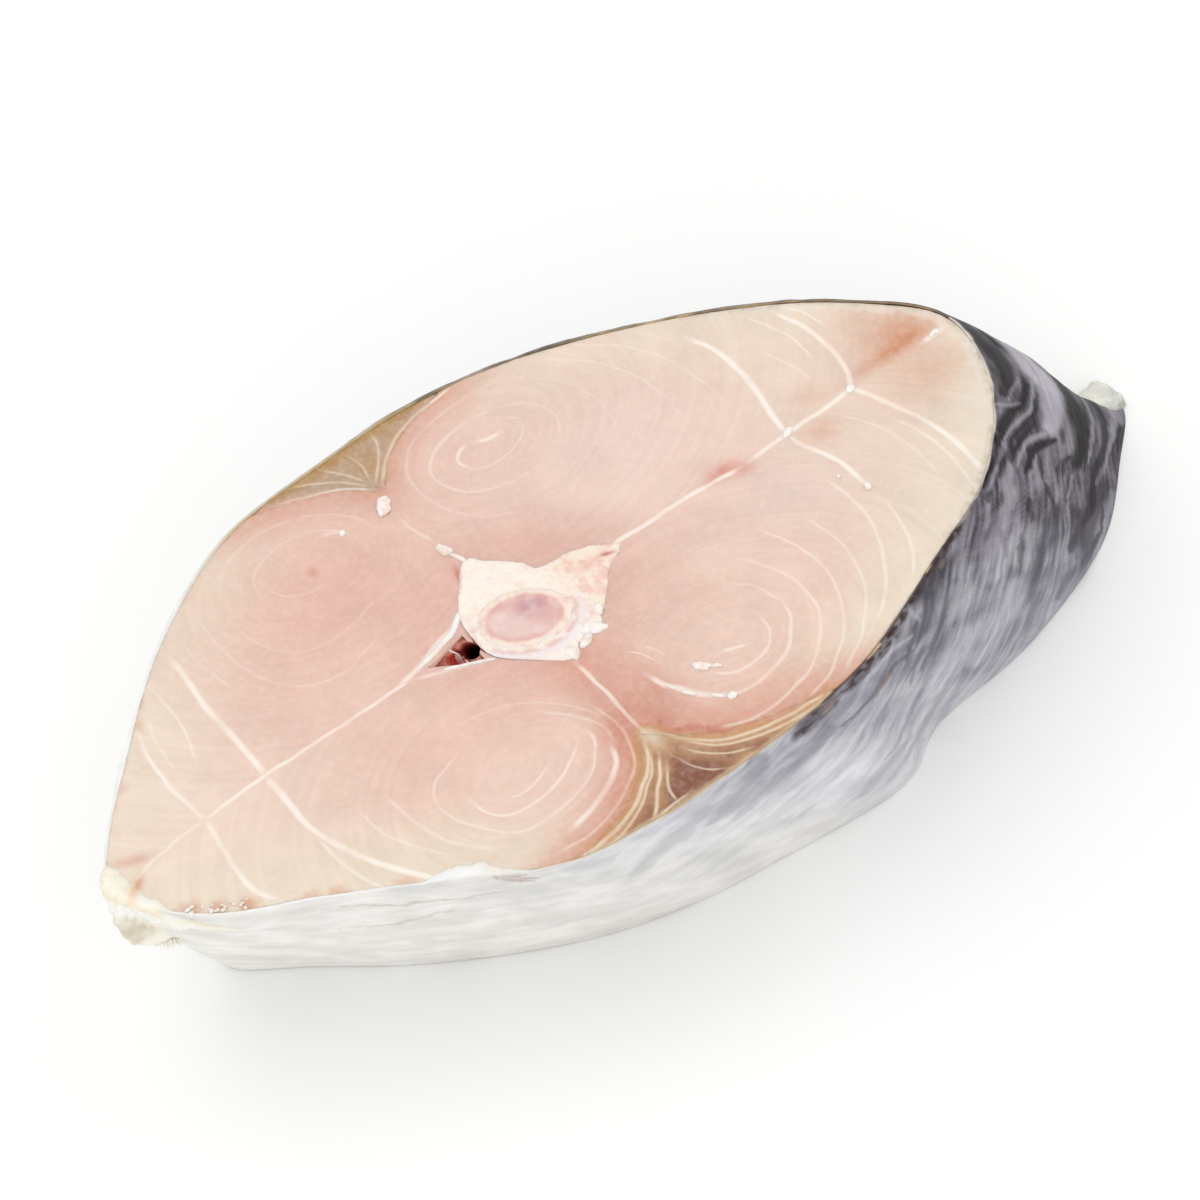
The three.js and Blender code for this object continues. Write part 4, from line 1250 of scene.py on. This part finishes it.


# The artery and the vein under the vertebra.
# Under 'dark' each vessel gives the heights between which painted shade deepens down its bore.
vessels = {
    "artery": {"x": 51.85, "y": -1.75, "bore": 0.95, "mouth": 1.2, "wall": 0.2, "collar": 2.4, "side": 1,
               "top": 29.85, "ragged": 0.12, "dark": (29.5, 28.2), "inside": "#8f2a24"},
    "vein": {"x": 49.65, "y": -1.45, "bore": 0.7, "mouth": 0.9, "wall": 0.16, "collar": 2.2, "side": -1,
             "top": 29.6, "ragged": 0.18, "dark": (27.4, 24.5), "inside": "#dc4436"},
    "flareFrom": 27, "collarFrom": (27.2, 28.4), "around": 36, "rows": 60,
}
# deep is painted shade: the near black far down each bore.
vesselTones = palette({"lip": "#cf7f6d", "deep": "#2c0507"})
membrane = {"from": (50.2, 0.5), "run": (0.6, -3.7), "bow": 0.5, "thickness": 0.16, "low": 27.4, "top": 29.75}


def vesselBore(size, z):  # half width of the opening at a height
    return size["bore"] + (size["mouth"] - size["bore"]) * smooth(z, vessels["flareFrom"], size["top"])


def makeVessel(name):  # a thin tube that runs down through the slice, with soft tissue round its ragged mouth
    size = vessels[name]

    def place(u, v):
        turn = 2 * pi * u
        isInner = v > 0.5
        climb = np.where(isInner, 2 - 2 * v, 2 * v)
        circle = np.column_stack([np.cos(turn), np.sin(turn), np.full_like(turn, size["x"])])
        z = 0.05 + climb * (size["top"] - 0.05)
        z += size["ragged"] * noiseAt(circle, 0.6) * smooth(climb, 0.9, 1)
        away = 0.05 + 0.95 * smooth(size["side"] * np.cos(turn), -0.8, -0.35)  # from the other vessel
        wall = size["wall"] + size["collar"] * away * smooth(z, *vessels["collarFrom"])
        wall = wall * np.clip((1 - climb) * 45, 0.08, 1)
        reach = vesselBore(size, z) + np.where(isInner, 0, wall)
        x, y = lowered(size["x"], size["y"], z)
        return np.column_stack([x + reach * np.cos(turn), y + reach * np.sin(turn), z])

    tube = wrappedGrid(name, vessels["around"], vessels["rows"] * 2, place)
    points = readPoints(tube)
    x, y = lowered(size["x"], size["y"], points[:, 2])
    outside = np.hypot(points[:, 0] - x, points[:, 1] - y) - vesselBore(size, points[:, 2])
    # Painted shade: the bore's colour darkens to near black between the 'dark' heights.
    deep = smooth(points[:, 2], *size["dark"])[:, None]
    lip = smooth(outside, 0.02, 0.16)[:, None]
    tone = np.array(toLinear(size["inside"])) * (1 - deep) + vesselTones["deep"] * deep
    tone = tone * (1 - lip) + vesselTones["lip"] * lip
    patches = noiseAt(np.column_stack([points[:, :2], points[:, 2] * 0.3]) + 3, 0.9, 2)[:, None]
    setTone(tube, tone * (1 + 0.16 * patches * lip))
    return tube


def makeMembrane():  # the white sheet between the two vessels
    size = membrane

    def place(u, v, w):
        x = size["from"][0] + size["run"][0] * u + size["bow"] * np.sin(pi * u)
        y = size["from"][1] + size["run"][1] * u
        top = size["top"] - 0.3 * np.sin(pi * u) + 0.12 * noiseAt(np.column_stack([y, x * 0, x * 0]), 0.8)
        z = size["low"] + v * (top - size["low"])
        return np.column_stack([x + (w - 0.5) * size["thickness"], y, z])

    return bentBlock("membrane", 24, 10, place)


# The near black down the bores is painted shade in the tone; the red of the walls is blood.
def vesselFinish():  # wet vessel wall: thin, smooth and dark with blood
    material, add = newMaterial("wet_blood_vessel")
    place = add("TexCoord", take="Object")
    tone = add("Attribute", attribute_name="tone")
    cloud = add("TexNoise", {"Vector": place, "Scale": 1000 / 1.2, "Detail": 3})
    share = add("MapRange", (cloud, 0.4, 0.65), **softRange)
    shade = add("Mix", {0: share, 6: rgba("#c9bdbb"), 7: rgba("#ffffff")}, **colourMix)
    base = add("Mix", {0: 1, 6: tone, 7: shade}, **tinting)
    bump = add("Bump", {"Height": cloud, "Strength": 0.3, "Distance": 0.0003})
    shader = add("BsdfPrincipled", {
        "Base Color": base, "Roughness": 0.25, "IOR": 1.38, "Normal": bump,
        "Coat Weight": 0.5, "Coat Roughness": 0.1, "Coat IOR": waterIor,
    })
    add("OutputMaterial", (shader,))
    return material


def gristleFinish():  # membrane, fat and gristle: opaque white with a little shine
    material, add = newMaterial("wet_white_gristle")
    place = add("TexCoord", take="Object")
    cloud = add("TexNoise", {"Vector": place, "Scale": 1000 / 1.6, "Detail": 3})
    fine = add("TexNoise", {"Vector": place, "Scale": 1000 / 0.4})
    share = add("MapRange", (cloud, 0.42, 0.66), **softRange)
    base = add("Mix", {0: share, 6: rgba("#f9f1ea"), 7: rgba("#f1dccf")}, **colourMix)
    bump = add("Bump", {"Height": fine, "Strength": 0.35, "Distance": 0.0002})
    shader = add("BsdfPrincipled", {
        "Base Color": base, "Roughness": 0.34, "IOR": 1.42, "Normal": bump,
        "Subsurface Weight": 0.3, "Subsurface Radius": (1, 0.7, 0.6), "Subsurface Scale": 0.0006,
        "Coat Weight": 0.3, "Coat Roughness": 0.2, "Coat IOR": waterIor,
    })
    add("OutputMaterial", (shader,))
    return material


# White flecks and strands stand out of the cut.
flecks = [  # place, length, breadth and height in mm, and turn
    (59.2, 22.8, 3.5, 1.75, 0.5, 0.8), (60.05, 12.3, 2.5, 1.35, 0.62, -1.2),
    (60.5, 10.4, 2.6, 0.6, 0.4, -1.3), (70.8, -22.1, 2.3, 1.25, 0.42, -0.85),
    (72.2, -23.2, 1.3, 0.6, 0.3, -0.6), (70.5, -27.8, 1.1, 0.9, 0.32, 0.2),
    (69.2, -26.6, 1.5, 0.5, 0.25, -0.85), (66.9, -24, 1.9, 0.5, 0.25, -1),
    (65.9, -21.9, 1.4, 0.4, 0.2, -1.2), (105.9, -14.8, 1.3, 1, 0.35, 1.3),
    (104.4, -11.3, 0.7, 0.6, 0.25, 0), (52.6, 22.8, 1.1, 0.8, 0.22, 0.9),
    (65.2, -8.8, 3.6, 2.2, 0.32, -0.6), (63.6, -9.8, 2.6, 1.3, 0.3, 0.3),
    (60.9, -10.3, 2.4, 1.6, 0.3, 1.2), (67.7, -7.4, 2, 1.1, 0.26, 0.9), (104.9, -1.6, 2, 1.1, 0.22, 0.4),
    (116.2, -1.4, 1.7, 1, 0.2, 0.4), (131.3, -1.6, 1.8, 0.8, 0.25, 0.1),
]
strands = [  # points with their heights, and the half width of a cord
    ([(44.2, -0.3, 29.7), (46.6, 0.3, 29.9), (49.4, 0.9, 29.95), (52, 1.65, 29.95), (54, 2.8, 29.95),
      (55.5, 3.9, 29.85)], 0.36),
    ([(46.2, -1.2, 29.75), (47.8, -1.9, 29.9), (50, -3.05, 29.98), (52.4, -4.2, 30),
      (53.8, -5, 29.95)], 0.22),
]


crumbs = {
    "from": (3.2, -8.8), "to": (10.4, -13.6), "count": 22, "stray": 0.45, "size": (0.25, 0.8), "seed": 4,
}


def crumbPlaces():  # torn crumbs of fat by the belly rim, as flecks
    rng = np.random.default_rng(crumbs["seed"])
    start, end = np.array(crumbs["from"]), np.array(crumbs["to"])
    made = []
    for _ in range(crumbs["count"]):
        x, y = start + (end - start) * rng.random() + rng.normal(0, crumbs["stray"], 2)
        size = rng.uniform(*crumbs["size"])
        made.append((x, y, size, size * rng.uniform(0.5, 0.9), 0.08 + 0.1 * size, rng.uniform(0, pi)))
    return made


def makeFlecks():
    bm = bmesh.new()
    for i, (x, y, length, breadth, height, turn) in enumerate(flecks + crumbPlaces()):
        ball = bmesh.ops.create_icosphere(bm, subdivisions=4 if length > 1 else 3, radius=0.5)["verts"]
        points = np.array([vert.co[:] for vert in ball])
        lump = 1 + 0.4 * noiseAt(points * (1, 1, 0.4) + i * 7.3, 0.55, 3)
        for vert, size in zip(ball, lump):
            vert.co *= size
        shape = Matrix.Translation((x, y, cut["thickness"] + 0.02)) @ Matrix.Rotation(turn, 4, "Z")
        bmesh.ops.transform(bm, verts=ball, matrix=shape @ Matrix.Diagonal((length, breadth, 2 * height, 1)))
    return meshObject(bm, "bits")


def makeWhiteBits():
    bits = [makeFlecks()]
    for i, (points, radius) in enumerate(strands):
        bits.append(cordAlong("strand", points, radius, radius * 0.5, i * 5.0))
    bits.append(makeMembrane())
    finishPiece(joinPieces("white_gristle", bits), gristleFinish(), [], 60)


vesselPiece = joinPieces("blood_vessels", [makeVessel("artery"), makeVessel("vein")])
finishPiece(vesselPiece, vesselFinish(), [], 60)
makeWhiteBits()

# The stumps of the trimmed fins: pads that grow on the skin, with a plate in the fish's middle plane.
bellyStump = {
    "before": 5.0, "after": 16.5,  # how far it reaches along the wall, on either side of the belly edge
    "low": 7.5, "high": 29.75, "overRim": 1.8, "cells": (170, 130),
    "heights": (8, 10.5, 13, 15.5, 17.2, 19, 21.5, 24, 26.5, 29.6),
    "reach": (0, 0.5, 1.2, 2.1, 3.4, 3.2, 2.6, 1.9, 1.2, 0.55),  # how far out the plate is at those heights
    "plateWidth": 1.7, "pad": 0.45, "rayGap": 0.9, "rayHeight": 0.12,
    "tail": (  # the pad behind the plate: distance from the belly edge, middle height and half height
        (-5, 27, 5), (0, 25, 9), (3, 26, 6.5), (6, 27, 4), (9, 27.4, 2.5), (12, 25.8, 1.5),
        (15.5, 23.7, 0.6)),
    "overShares": (0, 0.2, 0.5, 1), "overRise": (0, 0.5, 0.36, 0.1),  # its height where it lies over the cut
    "inward": ((-5, 0), (-3, 1.2), (-0.5, 3.4), (3, 2.4), (7, 1.1), (10, 0)),  # and how far in it reaches
}
rayTips = {
    "count": 13, "from": -0.4, "run": 3.8, "height": 15.6, "rise": 1.6, "length": 1.7, "halfWidth": 0.26,
}
bellyTones = palette({
    "cream": "#f4ecd8", "pale": "#fbf9f2", "patch": "#c2b59b", "dull": "#ecdcc2", "stain": "#e2a877",
})


def shapeBellyStump():
    size = bellyStump
    total = outerLength[-1]
    tailPlaces, tailMiddles, tailHalves = zip(*size["tail"])

    def place(u, v, w):
        length = u * (size["before"] + size["after"]) - size["before"]
        climb = v * (size["high"] - size["low"] + size["overRim"])
        z = size["low"] + np.minimum(climb, size["high"] - size["low"])
        over = np.maximum(climb - (size["high"] - size["low"]), 0) / size["overRim"]
        flat = flatPlaces(length, z)
        wobble = noiseAt(flat, 3, 3)
        jag = noiseAt(flat * (1, 0, 0) + 5, 0.55, 2)
        stray = noiseAt(flat + 11, (1.6, 2.4, 1), 3)
        across = length + 0.25 * wobble + 0.9 * stray * smooth(length, -0.3, -1.6)
        ridge = np.interp(z, size["heights"], size["reach"]) * np.exp(-(across / size["plateWidth"]) ** 2)
        ridge *= smooth(z + 1.4 * jag, 13.2, 14.6) * 0.85 + 0.15
        tailMiddle = np.interp(length, tailPlaces, tailMiddles)
        tailHalf = np.interp(length, tailPlaces, tailHalves)
        inTail = smooth(np.abs(z - tailMiddle + 0.4 * wobble) / np.maximum(tailHalf, 0.1), 1, 0.55)
        inTail *= smooth(z + 1.6 * jag + 0.35 * np.maximum(length, 0), 16.2, 17.6)
        inTail *= smooth(length + 1.3 * stray, -3.9, -1.2) * smooth(length, 16, 10)
        pad = (size["pad"] + 0.22 * wobble) * inTail
        lean = length + 0.3 * (30 - z) + 0.3 * wobble
        rays = size["rayHeight"] * np.sin(2 * pi * lean / size["rayGap"]) * (pad > 0.1)
        shape = -0.25 + ridge + (pad + 0.25) * smooth(pad, 0.02, 0.3) + rays * smooth(ridge + pad, 0.3, 0.8)
        lies = smooth(length, -4.5, -2.2) * smooth(length, 10.5, 7)  # where it lies over the cut
        inward = np.interp(length, *zip(*size["inward"])) * (1 + 0.3 * wobble)
        shape = shape * (1 - smooth(over, 0, 0.6)) - (inward + 0.4) * over
        out = np.where(w > 0.5, shape, -0.55 - 0.4 * over)
        x, y, outX, outY = wallFrame(angleAlong(np.mod(length, total)), z)
        rise = np.interp(over, size["overShares"], size["overRise"]) + 0.12 * wobble * smooth(over, 0, 0.3)
        z = z + np.where(w > 0.5, rise * lies, -0.3)
        return np.column_stack([x + outX * out, y + outY * out, z])

    return bentBlock("fin_stump_belly_body", *size["cells"], place)


def shapeRayTip(i, foot, way, length):  # the frayed end of a fin ray
    bend = 0.25 * length * noise.noise((1.0, i * 3.1, 0.5))

    def place(u, v):
        taper = np.sqrt(np.clip(v, 0, 1)) * (1 - v) * 1.9 + 0.02 * np.sin(pi * v)
        turn = 2 * pi * u
        points = np.outer(v * length, way) + np.array(foot)
        points[:, 0] += bend * v ** 2
        points[:, 0] += rayTips["halfWidth"] * taper * np.cos(turn)
        points[:, 1] += rayTips["halfWidth"] * 0.6 * taper * np.sin(turn)
        return points

    return wrappedGrid("tip", 8, 10, place, poles=True)


def makeRayTips():
    tips = []
    for i in range(rayTips["count"]):
        share = i / (rayTips["count"] - 1)
        spread = noise.noise((i * 1.7, 3.3, 0.2))
        height = rayTips["height"] + rayTips["rise"] * share + 0.7 * spread
        along = np.mod(rayTips["from"] + rayTips["run"] * share, outerLength[-1])
        x, y, outX, outY = wallFrame(np.array([angleAlong(along)]), height)
        reach = 2 * (1 - share) + 0.15
        foot = (float(x[0] + outX[0] * reach), float(y[0] + outY[0] * reach), height + 0.8)
        way = (0.25 - 0.5 * (1 - share) * 0.4, -0.05, -1)
        tips.append(shapeRayTip(i, foot, way, rayTips["length"] + 1.2 * abs(spread)))
    return tips


def finFinish():  # cut fin base: cream gristle and clear skin, its rays showing through
    material, add = newMaterial("wet_fin_gristle")
    place = add("TexCoord", take="Object")
    tone = add("Attribute", attribute_name="tone")
    cloud = add("TexNoise", {"Vector": place, "Scale": 1000 / 2.2, "Detail": 3})
    fine = add("TexNoise", {"Vector": place, "Scale": 1000 / 0.5, "Detail": 3})
    share = add("MapRange", (cloud, 0.4, 0.7, 0, 0.4), **softRange)
    base = add("Mix", {0: share, 6: tone, 7: rgba("#fbf8ee")}, **colourMix)
    bump = add("Bump", {"Height": fine, "Strength": 0.4, "Distance": 0.0003})
    shader = add("BsdfPrincipled", {
        "Base Color": base, "Roughness": 0.36, "IOR": 1.42, "Normal": bump,
        "Subsurface Weight": 0.35, "Subsurface Radius": (1, 0.8, 0.55), "Subsurface Scale": 0.0015,
        "Coat Weight": 0.3, "Coat Roughness": 0.2, "Coat IOR": waterIor,
    })
    add("OutputMaterial", (shader,))
    return material


finMaterial = finFinish()


def makeBellyStump():
    stump = joinPieces("fin_stump_belly_body", [shapeBellyStump(), *makeRayTips()])
    points = readPoints(stump)
    x, y, z = points.T
    cloud = noiseAt(points * (1, 1, 0.6), 2.5, 2)
    dullRim = smooth(z, 28.2, 29.4) * smooth(z, 30.4, 29.6) * smooth(x, 4, 0)
    patch = smooth(np.hypot((x - 0.6) / 2.6, (z - 22.2 + 0.5 * x) / 4.4) + 0.3 * cloud, 1.2, 0.2)
    setTone(stump, layTones(
        bellyTones, "cream",
        ("pale", 0.8 * smooth(cloud, -0.3, 0.5)),
        ("dull", 0.7 * dullRim),
        ("patch", 0.8 * patch),
        ("stain", 0.75 * spot(x, y, (1.7, -2.9), (1.9, 0.7), 0.72) * smooth(z, 29.2, 29.8)),
    ))
    finishPiece(stump, finMaterial, ["fin_stump_belly"], 60)


backStump = {
    "fromRidge": 7.3, "reachAcross": 3.9, "low": 0.35, "high": 6.2, "cells": (90, 90), "plateWidth": 1.95,
    "profile": (  # heights, and how far it stands out
        (0.35, 1.9), (0.8, 2.7), (1.4, 3.5), (2, 3.6), (2.6, 2.6), (3.2, 1.5), (3.8, 0.8), (4.6, 0.2),
        (6.2, 0)),
}
backTones = palette({"grey": "#c6c7c0", "pale": "#dcdccd", "brown": "#7d7268"})


def makeBackStump():
    size = backStump
    middle = backLength - size["fromRidge"]

    def place(u, v, w):
        length = (2 * u - 1) * size["reachAcross"]
        z = size["low"] + v * (size["high"] - size["low"])
        flat = flatPlaces(length, z)
        wobble = noiseAt(flat + 15, 1.6, 3)
        ridge = np.interp(z + 0.15 * wobble, *zip(*size["profile"]))
        ridge = ridge * (1 + 0.14 * length) * np.exp(-((length + 0.3 * wobble) / size["plateWidth"]) ** 4)
        ridge += 0.12 * wobble + 0.3 * noiseAt(flat + 44, 0.8, 2) * smooth(ridge, 1, 2.4)
        shape = -0.3 + ridge * smooth(np.abs(length), size["reachAcross"], size["reachAcross"] - 0.8)
        out = np.where(w > 0.5, shape, -0.55)
        x, y, outX, outY = wallFrame(angleAlong(middle + length), z)
        return np.column_stack([x + outX * out, y + outY * out, z])

    stump = bentBlock("fin_stump_back_body", *size["cells"], place)
    points = readPoints(stump)
    cloud = noiseAt(points, 1.6, 2)
    setTone(stump, layTones(
        backTones, "grey",
        ("pale", smooth(cloud, -0.3, 0.5)),
        ("brown", 0.5 * smooth(points[:, 2] + cloud, 2.4, 0.4)),
    ))
    finishPiece(stump, finMaterial, ["fin_stump_back"], 60)


makeBellyStump()
makeBackStump()


# Floor, light and camera.
studio = {
    "eye": (-0.19107, -0.20295, 0.34181), "looks": (0.4353, 0.4820, -0.7604), "lens": 102.08, "sky": 0.78,
    "lights": {  # place, size and power
        "key": ((-0.25, 0.35, 0.9), 0.7, 2.2),
        "fill": ((-0.4, -0.75, 0.5), 0.8, 1.8),
        "back": ((0.7, 0.1, 0.6), 0.6, 0.7),
    },
}


def makeFloor():  # plain matt white board
    bm = bmesh.new()
    bmesh.ops.create_grid(bm, x_segments=1, y_segments=1, size=3.0)
    floor = meshObject(bm, "floor")
    material, add = newMaterial("matt_white_board")
    add("OutputMaterial", (add("BsdfPrincipled", {
        "Base Color": rgba("#fbfbfa"), "Roughness": 0.9, "Specular IOR Level": 0.1,
    }),))
    floor.data.materials.append(material)


def addSoftLight(name, place, size, power):  # a square soft box that faces the steak
    light = bpy.data.lights.new(name, "AREA")
    light.shape = "SQUARE"
    light.size = size
    light.energy = power
    lamp = bpy.data.objects.new(name, light)
    lamp.location = place
    lamp.rotation_euler = (-Vector(place)).to_track_quat("-Z", "Y").to_euler()
    bpy.context.scene.collection.objects.link(lamp)


def makeStudio():
    scene = bpy.context.scene
    world = bpy.data.worlds.new("studio")
    world.use_nodes = True
    world.node_tree.nodes["Background"].inputs[0].default_value = (1, 1, 1, 1)
    world.node_tree.nodes["Background"].inputs[1].default_value = studio["sky"]
    scene.world = world
    for name, light in studio["lights"].items():
        addSoftLight(name, *light)
    lens = bpy.data.cameras.new("camera")
    lens.lens = studio["lens"]
    lens.sensor_width = 36
    lens.clip_start = 0.01
    camera = bpy.data.objects.new("camera", lens)
    camera.location = studio["eye"]
    camera.rotation_euler = Vector(studio["looks"]).to_track_quat("-Z", "Y").to_euler()
    scene.collection.objects.link(camera)
    scene.camera = camera
    scene.view_settings.view_transform = "Standard"
    print("studio lit by", len(studio["lights"]), "lights")


makeFloor()
makeStudio()
